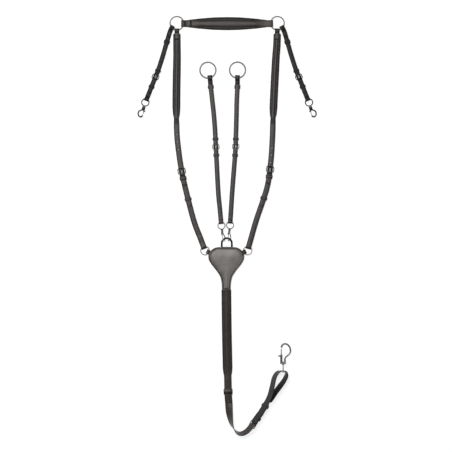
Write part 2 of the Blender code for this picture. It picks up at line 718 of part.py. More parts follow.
cover_rows = withers_end(0.0, 1)
cover_rows += [(mid - 60, 13.6, 4.9, 7.5), (mid, 14.8, 4.9, 7.5), (mid + 60, 13.6, 4.9, 7.5)]
cover_rows += withers_end(withers.length, -1)
cover = add_part("Withers_Cover", strap_mesh("strap", withers, cover_rows, 60.0), LEATHER)
for side in ("Left", "Right"):
    bore = ring_bore("bore", *RINGS[side + "_Upper_Ring"])
    boolean(cover, add_helper(side + "_withers_bore", bore), "DIFFERENCE")
half_rows = [(21.0, 10.5), (24.0, 12.4), (60.0, 17.0), (110.0, 20.9), (mid, 21.8)]
lining_rows = [(u, w, 0.5, 4.2) for u, w in half_rows]
lining_rows += [(withers.length - u, w, 0.5, 4.2) for u, w in half_rows[-2::-1]]
pad_mesh = strap_mesh("pad", withers, lining_rows, 60.0, 0.35, 1.6)
withers_lining = add_part("Withers_Lining", pad_mesh, LEATHER)

# The withers strap and its rings fold on a line through both shoulder straps' ring loops
FOLD_SAG = 0.74
FOLD_LINE = (2.45, RINGS["Left_Upper_Ring"][1] - UPPER_RING[0] + FOLD_SAG, RING_Z)
pivot(cover, Matrix.Translation(FOLD_LINE))
pivot(withers_lining, Matrix.Translation(FOLD_LINE))

# Shoulder straps
PAD = (0.6, 4.0)
OVER_PAD = (4.7, 4.7 + STRAP_T)
SHOULDERS = {
    "Left": {
        "plan": (
            (-163.4, 770.9), (-163.2, 715.0), (-163.0, 666.6), (-165.0, 534.6), (-163.6, 430.0),
            (-158.1, 370.9), (-148.5, 305.0), (-136.0, 246.5), (-108.2, 138.6), (-85.0, 76.6),
        ),
        "away": 110.5,
        "bar": (-146.2, 292.0),
        "runner": (-125.6, 206.9),
        "tip": (-119.5, 181.0),
        "holes": ((-164.0, 421.1), (-161.0, 396.3), (-158.3, 371.6), (-136.0, 246.5)),
    },
    "Right": {
        "plan": (
            (168.2, 770.9), (166.6, 715.0), (163.0, 666.6), (157.1, 551.1), (154.1, 476.9),
            (151.6, 402.6), (146.5, 330.0), (134.2, 245.9), (99.0, 138.6), (81.0, 76.6),
        ),
        "away": 74.0,
        "bar": (141.8, 298.0),
        "runner": (122.8, 210.2),
        "tip": (114.8, 183.0),
        "holes": ((149.5, 376.0), (148.0, 352.8), (145.5, 328.7), (134.2, 245.9)),
    },
}
UPPER_FOLD = (5.6, UPPER_RING[1] + BORE_FIT + FOLD_WALL)
CHEST_FOLD = (7.4, CHEST_RING[1] + BORE_FIT + FOLD_WALL)
CHEST_TIP = 5.2

for side, data in SHOULDERS.items():
    name = side + "_Shoulder"
    x, y, z, size = RINGS[side + "_Chest_Ring"]
    away = math.radians(data["away"])
    stop = (x + CHEST_TIP * math.cos(away), y + CHEST_TIP * math.sin(away))
    path = Path((*data["plan"], stop))
    bar_u, runner_u, tip_u = (path.nearest(*data[key]) for key in ("bar", "runner", "tip"))
    at = buckle_frame(path, bar_u, -1)
    half = SHOULDER_HALF

    rows = fold_rows(
        0.0, 1, RING_Z, UPPER_FOLD[0], UPPER_FOLD[1], SADDLE_HALF,
        [(9.5, RING_Z - 4.0, RING_Z + 4.0), (16.0, 4.0, 8.6), (18.0, 4.7, 8.9), (34.0, 4.7, 8.9)],
    )
    rows += [(38.0, 6.6, *OVER_PAD), (150.0, 8.0, *OVER_PAD), (262.0, 8.0, *OVER_PAD)]
    rows += [(296.0, 8.6, *OVER_PAD), (316.0, half, *STRAP)]
    rows += billet_rows(bar_u, -1, half, SHOULDER_CHAPE)
    rows += rounded_end(tip_u, half, *ON_TOP, 1)
    upper = add_part(name + "_Upper_Strap", strap_mesh("strap", path, rows), LEATHER)
    fold_at = Matrix.Translation((RINGS[side + "_Upper_Ring"][0], *FOLD_LINE[1:]))
    fold_r = UPPER_RING[1] + FOLD_SAG + 0.3
    ring_cut = rod_mesh("bore", fold_at, [(-14, 0, 0), (14, 0, 0)], fold_r, 14)
    boolean(upper, add_helper(name + "_ring_bore", ring_cut), "DIFFERENCE")
    cuts = [tongue_hole("hole", at)]
    cuts += [punch("p", path, path.nearest(*hole)) for hole in data["holes"]]
    cut_all(upper, name + "_holes", cuts)

    rows = [(17.5, 11.2, *PAD), (21.0, 12.2, *PAD), (150.0, 13.2, *PAD), (262.0, 13.2, *PAD)]
    rows += [(284.0, 11.6, *PAD), (294.0, 9.4, *PAD), (298.0, 7.2, *PAD)]
    pad_mesh = strap_mesh("pad", path, rows, 60.0, 0.35, 1.5)
    add_part(name + "_Pad", pad_mesh, LEATHER)

    end = path.length
    rows = chape_rows(bar_u, -1, half, SHOULDER_CHAPE)
    body = [(11.5, z - 3.4, z + 3.4), (20.0, STRAP_Z - 0.4, STRAP_Z + 3.8)]
    body += [(44.0, STRAP_Z - 0.4, STRAP_Z + 3.8), (47.0, *STRAP)]
    rows += fold_rows(end, -1, z, *CHEST_FOLD, half, body)
    lower = add_part(name + "_Lower_Strap", strap_mesh("strap", path, rows), LEATHER)
    keeper_u = bar_u + SHOULDER_CHAPE / 2 - 0.5
    keeper = fixed_keeper("k", path, keeper_u, half, STRAP_Z + 3.4, STRAP_Z + 3.7 + STRAP_T, 12.0)
    boolean(lower, add_helper(name + "_keeper", keeper), "UNION")
    cut_all(lower, name + "_chape_cuts", chape_cuts("chape", at, half))
    boolean(lower, add_helper(name + "_bore", ring_bore("bore", x, y, z, size)), "DIFFERENCE")

    add_buckle(name + "_Buckle", at, half, GUNMETAL)
    add_tongue(name + "_Buckle_Tongue", at, GUNMETAL)
    here = path.frame(runner_u)
    band = band_mesh("band", Matrix.Identity(4), half + 0.6, STRAP_Z - 0.4, ON_TOP[1] + 0.4, 10.0, 1.6)
    runner = add_part(name + "_Runner_Keeper", band, LEATHER)
    runner.matrix_world = metres(here)

# Chest plate
CHEST_X = -0.2
CHEST_HALF = (
    (0.0, 50.3), (20.0, 49.6), (37.0, 47.2), (49.0, 39.8), (57.0, 30.0), (59.5, 20.3), (57.4, 6.0),
    (47.9, -9.9), (33.2, -28.4), (20.9, -47.5), (16.2, -65.0), (14.8, -80.0), (14.7, -91.6),
)
LINING_T = 4.0
COVER_Z = LINING_T + GAP


def chest_outline():
    """The whole outline, walked once round from the top middle."""
    right = [Vector(p) for p in CHEST_HALF]
    left = [Vector((-p[0], p[1])) for p in CHEST_HALF[:0:-1]]
    return [Vector((CHEST_X + p.x, p.y)) for p in right + left]


def inset(point, distance):
    """Moves an outline point towards the plate's spine."""
    spine = Vector((CHEST_X, max(-82.0, min(16.0, point.y + 6.0))))
    way = spine - point
    return point + way * min(distance / way.length, 0.86)


def layered(made, layers):
    """Skins a stack of plan outlines, each at its own height."""
    loft(made, [[(*p, z) for p in outline] for outline, z in layers])


def tab_mesh(side, spare=0.0):
    """The lining's tab that wraps a chest ring; a swollen copy cuts its room in the cover."""
    x, y, z, _ = RINGS[side + "_Chest_Ring"]
    toward = math.radians(-24.5 if side == "Left" else 204.5)
    way = Vector((math.cos(toward), math.sin(toward)))
    start = Vector((x, y)) + way * (CHEST_TIP - spare)
    tab = Path([tuple(start), tuple(start + way * 15), tuple(start + way * 28)])
    body = [(10.5, z - 3.2, z + 2.9), (14.0, 0.8 - spare, 4.6), (19.0, 0.6, 3.5), (27.0, 0.6, 3.2)]
    rows = fold_rows(0.0, 1, z, CHEST_FOLD[0], CHEST_FOLD[1], 7.5 + spare, body)
    rows = [(u, h, low - spare, high + spare) for u, h, low, high in rows]
    return strap_mesh("tab", tab, rows)


outline = chest_outline()
lining_layers = [(outline, 0.0), (outline, LINING_T)]
lining_mesh = mesh_from("lining", lambda made: layered(made, lining_layers))
lining = add_part("Chest_Lining", lining_mesh, LEATHER)
border = [inset(p, 5.2) for p in outline]
swell = [inset(p, 7.2) for p in outline]
crown = [inset(p, 20.0) for p in outline]
cover_layers = [(outline, COVER_Z), (outline, 6.6), ([inset(p, 0.8) for p in outline], 7.3)]
cover_layers += [(border, 7.4), (swell, 9.4), ([inset(p, 12.0) for p in outline], 11.4)]
cover_layers += [(crown, 12.8), ([inset(p, 40.0) for p in outline], 13.5)]
cover_mesh = mesh_from("cover", lambda made: layered(made, cover_layers))
chest_cover = add_part("Chest_Cover", cover_mesh, LEATHER)

points, radii = loop_line()
loop_mesh = rod_mesh("loop", Matrix.Identity(4), points, 1, 8, False, radii)
add_part("Chest_Loop", loop_mesh, GUNMETAL)
for end in (0, -1):
    x, y, z = points[end]
    points[end] = (x, y - GAP, z)
room = rod_mesh("room", Matrix.Identity(4), points, 1, 8, False, [r + BORE_FIT for r in radii])
room_helper = add_helper("Loop_Room", room)
for side in ("Left", "Right"):
    boolean(lining, add_helper(side + "_tab", tab_mesh(side)), "UNION")
    bore = ring_bore("bore", *RINGS[side + "_Chest_Ring"])
    boolean(lining, add_helper(side + "_tab_bore", bore), "DIFFERENCE")
    boolean(chest_cover, add_helper(side + "_tab_room", tab_mesh(side, GAP)), "DIFFERENCE")
boolean(lining, room_helper, "DIFFERENCE")
boolean(chest_cover, room_helper, "DIFFERENCE")

# Girth strap: a cover over a pad, then a plain strap that twists, turns up and buckles to the snap's loop
GIRTH_PLAN = (
    (-0.2, -80.0), (-0.2, -92.2), (1.5, -230.0), (4.0, -350.0), (5.0, -395.0), (5.9, -435.6),
    (8.3, -468.6), (10.2, -498.0), (16.2, -531.3), (26.5, -553.0), (39.9, -565.3), (54.1, -565.6),
    (68.3, -557.5), (80.5, -544.0), (94.4, -523.1), (116.2, -491.7), (136.6, -458.7), (146.0, -440.0),
)
line = Path(GIRTH_PLAN)


def girth_u(x, y):
    """Length along the girth strap at a plan point."""
    return line.nearest(x, y)


FACE_TILTS = (
    ((7.5, -466.0), 0.0), ((10.2, -498.0), 28.0), ((16.2, -531.3), 62.0), ((26.5, -553.0), 92.0),
    ((39.9, -565.3), 116.0), ((54.1, -565.6), 130.0), ((68.3, -557.5), 133.0), ((146.0, -440.0), 133.0),
)
LIFTS = (
    ((7.5, -466.0), STRAP_MID), ((10.2, -498.0), 8.0), ((16.2, -531.3), 13.0), ((26.5, -553.0), 16.5),
    ((54.1, -565.6), 18.5), ((146.0, -440.0), 18.5),
)
girth_tilts = tuple((girth_u(*p), value) for p, value in FACE_TILTS)
girth_lifts = tuple((girth_u(*p), value) for p, value in LIFTS)
girth = Path(GIRTH_PLAN, girth_tilts, girth_lifts)
GIRTH_BUCKLE = 19.0
GIRTH_CHAPE = 34.0
half = GIRTH_HALF
GIRTH_BAR_AT = (91.0, -528.5)
bar_u = girth_u(*GIRTH_BAR_AT)
at = buckle_frame(girth, bar_u, -1)
runner_u = girth_u(127.0, -474.5)

rows = [(girth_u(0, -92.5), 9.5, 4.9, 7.5), (girth_u(3.9, -352.4), 9.5, 4.9, 7.5)]
rows += [(girth_u(4.0, -356.0), half, 4.9, 7.5), (girth_u(4.4, -376.0), half, 4.7, 7.5)]
both = (STRAP_Z, ON_TOP[1])
rows += [(girth_u(5.0, -388.0), half, *both), (girth_u(7.5, -464.0), half, *both)]
rows += [(girth_u(7.6, -465.2), half, *STRAP), (girth_u(10.2, -498.0), half, *STRAP)]
rows += billet_rows(bar_u, -1, half, GIRTH_CHAPE, GIRTH_BUCKLE)
rows += rounded_end(girth_u(134.5, -462.0), half, *ON_TOP, 1)
strap = add_part("Girth_Strap", strap_mesh("strap", girth, rows, 16.0), LEATHER)
wide = band_mesh("k", girth.frame(girth_u(5.6, -428.0)), half + 1.0, 4.0, ON_TOP[1] - 0.6, 19.0, 1.9)
boolean(strap, add_helper("girth_wide_keeper", wide), "UNION")
cuts = [tongue_hole("hole", at), punch("p", girth, girth_u(7.4, -461.0), 2.2)]
cut_all(strap, "girth_holes", cuts)

pad_rows = [(girth_u(0, -92.6), 16.2, 0.5, 4.2), (girth_u(4.0, -350.0), 16.2, 0.5, 4.2)]
pad_rows += [(girth_u(4.2, -366.0), 14.6, 0.5, 4.2), (girth_u(4.5, -378.0), 11.4, 0.5, 3.6)]
add_part("Girth_Pad", strap_mesh("pad", girth, pad_rows, 60.0, 0.3, 1.5), LEATHER)

# The loop strap: buckle chape, then up round the snap's eye and back to where it is stitched
SNAP_AT = (187.1, -352.1, 18.5)
LOOP_PLAN = (
    (80.5, -544.0), (94.4, -523.1), (116.2, -491.7), (134.0, -462.5), (144.0, -440.0), (151.5, -410.0),
    (157.5, -383.0), (166.5, -367.0), (178.0, -360.8), (189.0, -360.0), (197.0, -365.0), (197.5, -376.0),
    (189.0, -393.0), (176.0, -411.0), (161.0, -431.0), (151.5, -445.5),
)
rough = Path(LOOP_PLAN)
LOOP_TILTS = (
    ((134.0, -462.5), 133.0), ((151.5, -410.0), 124.0), ((157.5, -383.0), 117.0), ((178.0, -360.8), 96.0),
    ((189.0, -360.0), 90.0), ((197.5, -376.0), 66.0), ((176.0, -411.0), 49.0), ((151.5, -445.5), 47.0),
)
loop_tilts = tuple((rough.nearest(*p), value) for p, value in LOOP_TILTS)
LOOP_LIFTS = (((134.0, -462.5), 18.5), ((189.0, -360.0), 18.5), ((151.5, -445.5), 16.4))
loop_lifts = tuple((rough.nearest(*p), value) for p, value in LOOP_LIFTS)
loop_path = Path(LOOP_PLAN, loop_tilts, loop_lifts)
bar_on_loop = loop_path.nearest(*GIRTH_BAR_AT)
rows = chape_rows(bar_on_loop, -1, half, GIRTH_CHAPE)
rows += [(loop_path.length - 0.5, half, *STRAP)]
loop_strap = add_part("Girth_Loop_Strap", strap_mesh("strap", loop_path, rows, 7.0), LEATHER)
keeper_at = girth.frame(bar_u + GIRTH_CHAPE / 2)
keeper = band_mesh("k", keeper_at, half + 0.6, STRAP_Z + 2.9, STRAP_Z + 4.1 + STRAP_T, 11.0, 1.6)
boolean(loop_strap, add_helper("girth_keeper", keeper), "UNION")
cut_all(loop_strap, "girth_chape", chape_cuts("chape", at, half))

add_buckle("Girth_Buckle", at, half, GUNMETAL, GIRTH_BUCKLE)
add_tongue("Girth_Buckle_Tongue", at, GUNMETAL, GIRTH_BUCKLE)
band = band_mesh("band", Matrix.Identity(4), half + 0.8, STRAP_Z - 0.5, ON_TOP[1] + 0.5, 11.0, 1.6)
runner = add_part("Girth_Runner_Keeper", band, LEATHER)
runner.matrix_world = metres(girth.frame(runner_u))

# Girth snap: its eye is a long loop that stands across the strap
upright = Matrix.Translation(SNAP_AT) @ Matrix.Rotation(math.pi / 2, 4, "Z")
eye_at = upright @ Matrix.Rotation(math.pi / 2, 4, "X")
hook_at = upright @ Matrix.Rotation(math.pi, 4, "X")
GIRTH_SNAP_SCALE = 1.55
LONG_EYE_PLAN = (
    (-11.9, -12.0), (-11.9, -6.0), (-11.9, 6.0), (-11.9, 12.0), (-9.0, 14.9), (4.0, 14.9), (9.0, 12.5),
    (12.1, 6.0), (12.1, 0.0), (12.1, -6.0), (9.0, -12.5), (4.0, -14.9), (-9.0, -14.9),
)
LONG_EYE = [(x, y, 0.0) for x, y in LONG_EYE_PLAN]
add_snap("Girth", eye_at, hook_at, STEEL, GIRTH_SNAP_SCALE, (12.1, 1.9), LONG_EYE)
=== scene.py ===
"""Hunting breastplate, laid flat: a Blender scene built on the packed CAD frame."""

import math

import bpy
from mathutils import Matrix, Vector


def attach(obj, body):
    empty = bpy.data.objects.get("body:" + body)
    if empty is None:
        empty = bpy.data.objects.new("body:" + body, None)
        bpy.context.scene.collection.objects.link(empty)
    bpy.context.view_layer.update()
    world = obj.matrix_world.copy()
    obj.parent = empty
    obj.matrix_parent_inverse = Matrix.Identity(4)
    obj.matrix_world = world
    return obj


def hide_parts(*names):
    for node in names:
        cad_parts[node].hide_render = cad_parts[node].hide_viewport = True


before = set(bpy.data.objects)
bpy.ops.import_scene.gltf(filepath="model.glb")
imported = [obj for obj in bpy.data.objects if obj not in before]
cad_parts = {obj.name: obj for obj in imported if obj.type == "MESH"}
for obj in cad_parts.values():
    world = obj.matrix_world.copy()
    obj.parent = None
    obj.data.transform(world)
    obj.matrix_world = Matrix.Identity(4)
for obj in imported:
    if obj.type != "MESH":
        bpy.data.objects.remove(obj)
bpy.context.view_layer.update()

bl_info = {
    "name": "Hunting Breastplate",
    "version": (1, 0, 0),
    "blender": (4, 5, 0),
    "location": "View3D > Sidebar > Breastplate",
    "description": "Leather hunting breastplate with bolt snaps, buckles and rings",
    "category": "Object",
}

# Lengths in the plans below are millimetres, as a saddler writes them
MM = 0.001

STRAP_Z = 2.4
STRAP_T = 2.6
STRAP_MID = STRAP_Z + STRAP_T / 2
GAP = 0.3
ON_TOP = STRAP_Z + STRAP_T + GAP
RING_Z = 6.4
HEEL_Z = STRAP_Z + 1.6
BUCKLE_RISE = 2.6
BAR_R = 1.3
FOLD_WALL = 1.9
# Room between a ring's wire and the leather folded round it
WIRE_ROOM = 0.35
SADDLE_HALF = 8.0
SHOULDER_HALF = 9.5
GIRTH_HALF = 12.5

UPPER_RING_Y = 787.7
UPPER_RING_R = 22.4
UPPER_WIRE = 2.3

# Each ring's place, then its radius and its wire's radius
RINGS = {
    "Left_Upper_Ring": (-163.4, UPPER_RING_Y, RING_Z, UPPER_RING_R, UPPER_WIRE),
    "Right_Upper_Ring": (168.3, UPPER_RING_Y, RING_Z, UPPER_RING_R, UPPER_WIRE),
    "Left_Fork_Ring": (-61.1, 632.9, RING_Z, 26.2, 2.7),
    "Right_Fork_Ring": (36.6, 633.3, RING_Z, 26.2, 2.7),
    "Left_Chest_Ring": (-70.5, 37.7, 4.5, 14.2, 1.6),
    "Right_Chest_Ring": (70.1, 37.7, 4.5, 14.2, 1.6),
}


class BreastplateSettings(bpy.types.PropertyGroup):
    """Colours and finishes of the breastplate."""

    leather: bpy.props.StringProperty(
        name="Leather", description="Face colour of the strap leather, sRGB hex", default="#2C2827"
    )
    # The panel colour is a lighter grey than the other black leather: painted sheen for the light on the flat
    # chest panel
    panel: bpy.props.StringProperty(
        name="Panel", description="Colour of the smooth chest panel, sRGB hex", default="#98938F"
    )
    girth: bpy.props.StringProperty(
        name="Girth", description="Colour of the glazed girth strap, sRGB hex", default="#4E4744"
    )
    # This colour is darker than the strap leather: painted shade for the tilted loop and saddle straps
    shaded_black: bpy.props.StringProperty(
        name="Shaded", description="Colour of the dull black loop and saddle straps, sRGB hex",
        default="#1D1D1E",
    )
    padding: bpy.props.StringProperty(
        name="Padding", description="Colour of the soft lining leather, sRGB hex", default="#242120"
    )
    edge: bpy.props.StringProperty(
        name="Edge", description="Colour of the inked cut edges, sRGB hex", default="#121111"
    )
    thread: bpy.props.StringProperty(
        name="Thread", description="Colour of the waxed thread, sRGB hex", default="#3A3736"
    )
    steel: bpy.props.StringProperty(
        name="Steel", description="Colour of the stainless fittings, sRGB hex", default="#A19E9A"
    )
    gunmetal: bpy.props.StringProperty(
        name="Gunmetal", description="Colour of the dark plated fittings, sRGB hex", default="#38332F"
    )
    floor: bpy.props.StringProperty(
        name="Floor", description="Colour of the studio floor, sRGB hex", default="#FDFDFD"
    )
    stitch_pitch: bpy.props.FloatProperty(
        name="Stitch pitch", description="Length of one stitch", default=0.0031, subtype="DISTANCE",
        unit="LENGTH",
    )
    stitch_inset: bpy.props.FloatProperty(
        name="Stitch inset", description="Stitch line to strap edge", default=0.0021, subtype="DISTANCE",
        unit="LENGTH",
    )
    thread_size: bpy.props.FloatProperty(
        name="Thread size", description="Thread diameter", default=0.0008, subtype="DISTANCE", unit="LENGTH"
    )
    grain: bpy.props.FloatProperty(
        name="Grain", description="Size of the leather's grain", default=0.0011, subtype="DISTANCE",
        unit="LENGTH",
    )
    metres_per_pixel: bpy.props.FloatProperty(
        name="Scale", description="Metres for each pixel of the reference picture", default=0.0033
    )
    camera_height: bpy.props.FloatProperty(
        name="Camera height", description="Camera above the chest lining's back", default=6.0,
        subtype="DISTANCE", unit="LENGTH",
    )
    key_power: bpy.props.FloatProperty(
        name="Key power", description="Power of the main soft light", default=29.0
    )


def settings():
    return bpy.context.scene.breastplate


def linear(text):
    """sRGB hex to linear RGBA."""
    values = [int(text[i : i + 2], 16) / 255 for i in (1, 3, 5)]
    values = [v / 12.92 if v <= 0.04045 else ((v + 0.055) / 1.055) ** 2.4 for v in values]
    return (*values, 1.0)


def add_node(tree, kind, links=(), **values):
    """Adds one node, sets its inputs or properties by name, and links (output socket, input name) pairs."""
    node = tree.nodes.new(kind)
    for key, value in values.items():
        name = key.replace("_", " ").title()
        if hasattr(node, key):
            setattr(node, key, value)
        elif name in node.inputs:
            node.inputs[name].default_value = value
        else:
            raise KeyError(f"{kind} has no {key}")
    for socket, name in links:
        tree.links.new(socket, node.inputs[name])
    return node


def start_material(name):
    found = bpy.data.materials.get(name)
    if found:
        return found, None, None
    made = bpy.data.materials.new(name)
    made.use_nodes = True
    tree = made.node_tree
    return made, tree, tree.nodes["Principled BSDF"]


# Sizes of the patterns, in mm, as they are on the real materials unless a comment says otherwise
DYE_PATCH = 36.0
# Hair pores are about 0.2 mm; they are drawn coarser, so that they still show from a step away
PORES = 0.7
WEAR_PATCH = 6.3
HANDLING_SMEAR = 11.0
# Polishing marks are about 0.1 mm; they are drawn coarser, so that they show in the render
POLISHING_MARKS = 1.1
THREAD_TWIST = 0.4


def leather(name, face, rough, grain_depth, scratch=0.25, shine=1.0):
    """Leather with pebbled grain, a slow change of tone, fine wear and darker inked edges."""
    made, tree, shader = start_material(name)
    if tree is None:
        return made
    s = settings()
    at = [(add_node(tree, "ShaderNodeTexCoord").outputs["Object"], "Vector")]
    pebble = add_node(tree, "ShaderNodeTexVoronoi", at, scale=1.0 / s.grain)
    cloud = add_node(tree, "ShaderNodeTexNoise", at, scale=1.0 / (DYE_PATCH * MM), detail=3.0)
    fine = add_node(tree, "ShaderNodeTexNoise", at, scale=1.0 / (PORES * MM), detail=4.0)
    wear = add_node(tree, "ShaderNodeTexNoise", at, scale=1.0 / (WEAR_PATCH * MM), detail=6.0, roughness=0.7)
    edge = add_node(tree, "ShaderNodeAttribute", attribute_name="edge").outputs["Fac"]
    tone = add_node(
        tree, "ShaderNodeMapRange", [(cloud.outputs["Fac"], "Value")],
        from_min=0.3, from_max=0.7, to_min=0.78, to_max=1.3,
    )
    toned = add_node(
        tree, "ShaderNodeMixRGB", [(tone.outputs[0], "Color2")],
        blend_type="MULTIPLY", fac=1.0, color1=linear(face),
    )
    worn = add_node(
        tree, "ShaderNodeMapRange", [(wear.outputs["Fac"], "Value")],
        from_min=0.6, from_max=0.85, to_min=0.0, to_max=scratch,
    )
    light = add_node(
        tree, "ShaderNodeMixRGB", [(worn.outputs[0], "Fac"), (toned.outputs[0], "Color1")],
        color2=linear("#5C5652"),
    )
    inked = add_node(
        tree, "ShaderNodeMixRGB", [(edge, "Fac"), (light.outputs[0], "Color1")], color2=linear(s.edge)
    )
    tree.links.new(inked.outputs[0], shader.inputs["Base Color"])
    gloss = add_node(
        tree, "ShaderNodeMapRange", [(fine.outputs["Fac"], "Value")],
        from_min=0.3, from_max=0.7, to_min=rough - 0.06, to_max=rough + 0.08,
    )
    tree.links.new(gloss.outputs[0], shader.inputs["Roughness"])
    height = add_node(
        tree, "ShaderNodeMixRGB",
        [(pebble.outputs["Distance"], "Color1"), (fine.outputs["Fac"], "Color2")], fac=0.35,
    )
    bump = add_node(
        tree, "ShaderNodeBump", [(height.outputs[0], "Height")], strength=grain_depth, distance=0.12 * MM
    )
    tree.links.new(bump.outputs[0], shader.inputs["Normal"])
    shader.inputs["Specular IOR Level"].default_value = shine
    shader.inputs["Specular Tint"].default_value = linear("#FFF9F5")
    return made


def bridle_leather():
    """Bridle leather, curried with wax on both sides: an even black with a soft, wide sheen."""
    return leather("Waxed_Bridle_Leather", settings().leather, 0.34, 0.3, 0.25, 0.85)


def girth_leather():
    """Harness leather, stuffed with grease and glazed: a little lighter than the bridle leather."""
    return leather("Glazed_Harness_Leather", settings().girth, 0.34, 0.25, 0.25, 0.5)


def shade_darkened_leather():
    """Cowhide, drum-dyed and left unwaxed: a deep, neutral, duller black for the loop and saddle straps."""
    return leather("Black_Cowhide_Painted_Shade", settings().shaded_black, 0.42, 0.3, 0.2, 0.5)


def panel_leather_painted_sheen():
    """Cowhide pressed under a hot plate: its grain lies flat, so the chest panel takes the light evenly."""
    return leather("Plated_Cowhide_Painted_Sheen", settings().panel, 0.24, 0.1, 0.1, 1.0)


def padded_leather():
    """Nappa, softened by milling: a finer, softer grain and little shine, over the padding."""
    return leather("Milled_Nappa_Leather", settings().padding, 0.45, 0.45, 0.15, 0.8)


# How dark a handling smear is, and how deep a polishing mark
SMEAR_SHADE = 0.72
MARK_DEPTH = 0.05


def metal(name, colour, rough, streak):
    """Metal with faint polishing marks and handling smears."""
    made, tree, shader = start_material(name)
    if tree is None:
        return made
    at = [(add_node(tree, "ShaderNodeTexCoord").outputs["Object"], "Vector")]
    smear = add_node(tree, "ShaderNodeTexNoise", at, scale=1.0 / (HANDLING_SMEAR * MM), detail=4.0)
    marks = add_node(
        tree, "ShaderNodeTexNoise", at, scale=1.0 / (POLISHING_MARKS * MM), detail=6.0, roughness=0.7
    )
    base = add_node(
        tree, "ShaderNodeMixRGB", [(smear.outputs["Fac"], "Fac")],
        color1=linear(colour), color2=tuple(c * SMEAR_SHADE for c in linear(colour)[:3]) + (1.0,),
    )
    tree.links.new(base.outputs[0], shader.inputs["Base Color"])
    gloss = add_node(
        tree, "ShaderNodeMapRange", [(marks.outputs["Fac"], "Value")],
        from_min=0.3, from_max=0.7, to_min=rough - 0.05, to_max=rough + 0.07,
    )
    tree.links.new(gloss.outputs[0], shader.inputs["Roughness"])
    bump = add_node(
        tree, "ShaderNodeBump", [(marks.outputs["Fac"], "Height")], strength=streak, distance=MARK_DEPTH * MM
    )
    tree.links.new(bump.outputs[0], shader.inputs["Normal"])
    shader.inputs["Metallic"].default_value = 1.0
    return made


def stainless():
    """Stainless steel, welded or cast and then tumble-polished: bright, with soft highlights."""
    return metal("Polished_Stainless_Steel", settings().steel, 0.22, 0.12)


def gun_metal():
    """Cast zinc under black nickel plate: dark grey, and a little softer in its highlights."""
    return metal("Black_Nickel_Plate", settings().gunmetal, 0.3, 0.2)


def waxed_thread():
    """Polyester thread, twisted and waxed: a dull line, a little lighter than the leather."""
    made, tree, shader = start_material("Waxed_Polyester_Thread")
    if tree is None:
        return made
    at = [(add_node(tree, "ShaderNodeTexCoord").outputs["Object"], "Vector")]
    twist = add_node(tree, "ShaderNodeTexNoise", at, scale=1.0 / (THREAD_TWIST * MM), detail=2.0)
    colour = add_node(
        tree, "ShaderNodeMixRGB", [(twist.outputs["Fac"], "Fac")],
        color1=linear(settings().thread), color2=linear("#5A5553"),
    )
    tree.links.new(colour.outputs[0], shader.inputs["Base Color"])
    shader.inputs["Roughness"].default_value = 1.0
    return made


def curve_through(points, steps, closed=False):
    """A finer line through the points, which may carry a radius as a fourth number."""
    pts = [Vector(p) for p in points]
    if closed:
        ends = [pts[-1]] + pts + pts[:2]
    else:
        ends = [2 * pts[0] - pts[1]] + pts + [2 * pts[-1] - pts[-2]]
    line = []
    for a, b, c, d in zip(ends, ends[1:], ends[2:], ends[3:]):
        for step in range(steps):
            t = step / steps
            line.append(
                0.5
                * (
                    2 * b
                    + (c - a) * t
                    + (2 * a - 5 * b + 4 * c - d) * t * t
                    + (3 * b - a - 3 * c + d) * t**3
                )
            )
    return line if closed else line + [pts[-1]]


def between(table, u):
    """The values of a table of (u, value, ...) rows at u."""
    if u <= table[0][0]:
        return table[0][1:]
    for low, high in zip(table, table[1:]):
        if u <= high[0]:
            share = (u - low[0]) / (high[0] - low[0])
            return tuple(a + (b - a) * share for a, b in zip(low[1:], high[1:]))
    return table[-1][1:]


class Path:
    """A strap's line in plan, measured by its length, with a tilt and a lift along it."""

    def __init__(self, points, tilts=((0.0, 0.0),), lifts=((0.0, STRAP_MID),)):
        self.line = curve_through([(p[0], p[1], 0.0) for p in points], 12)
        self.marks = [0.0]
        for a, b in zip(self.line, self.line[1:]):
            self.marks.append(self.marks[-1] + (b - a).length)
        self.length = self.marks[-1]
        self.tilts = tilts
        self.lifts = lifts

    def point(self, u):
        """Position at length u, running straight on beyond either end."""
        k = 1
        while k < len(self.marks) - 1 and self.marks[k] < u:
            k += 1
        share = (u - self.marks[k - 1]) / (self.marks[k] - self.marks[k - 1])
        return self.line[k - 1].lerp(self.line[k], share)

    def frame(self, u):
        """The matrix with x along the strap, y to its left and z out of its face."""
        along = (self.point(u + 2.0) - self.point(u - 2.0)).normalized()
        turn = Matrix.Rotation(math.radians(between(self.tilts, u)[0]), 4, "X")
        side = Vector((0, 0, 1)).cross(along)
        base = Matrix((along, side, (0, 0, 1))).transposed().to_4x4()
        middle = self.point(u) + Vector((0, 0, between(self.lifts, u)[0]))
        return Matrix.Translation(middle) @ base @ turn @ Matrix.Translation((0, 0, -STRAP_MID))

    def nearest(self, x, y):
        """The length at which the curve passes closest to a point."""
        target = Vector((x, y, 0.0))
        best = min(range(len(self.line)), key=lambda k: (self.line[k] - target).length)
        options = [self.marks[best] + d * 0.25 for d in range(-60, 61)]
        return min(options, key=lambda u: (self.point(u) - target).length)


# How a strap is cut: corner radius, crease in from the edge, crease depth, raised middle
BRIDLE = (0.8, 2.3, 0.22, 0.3)
FLAT = (0.8, 2.3, 0.0, 0.0)
CORNER = (0, 30, 60, 90)


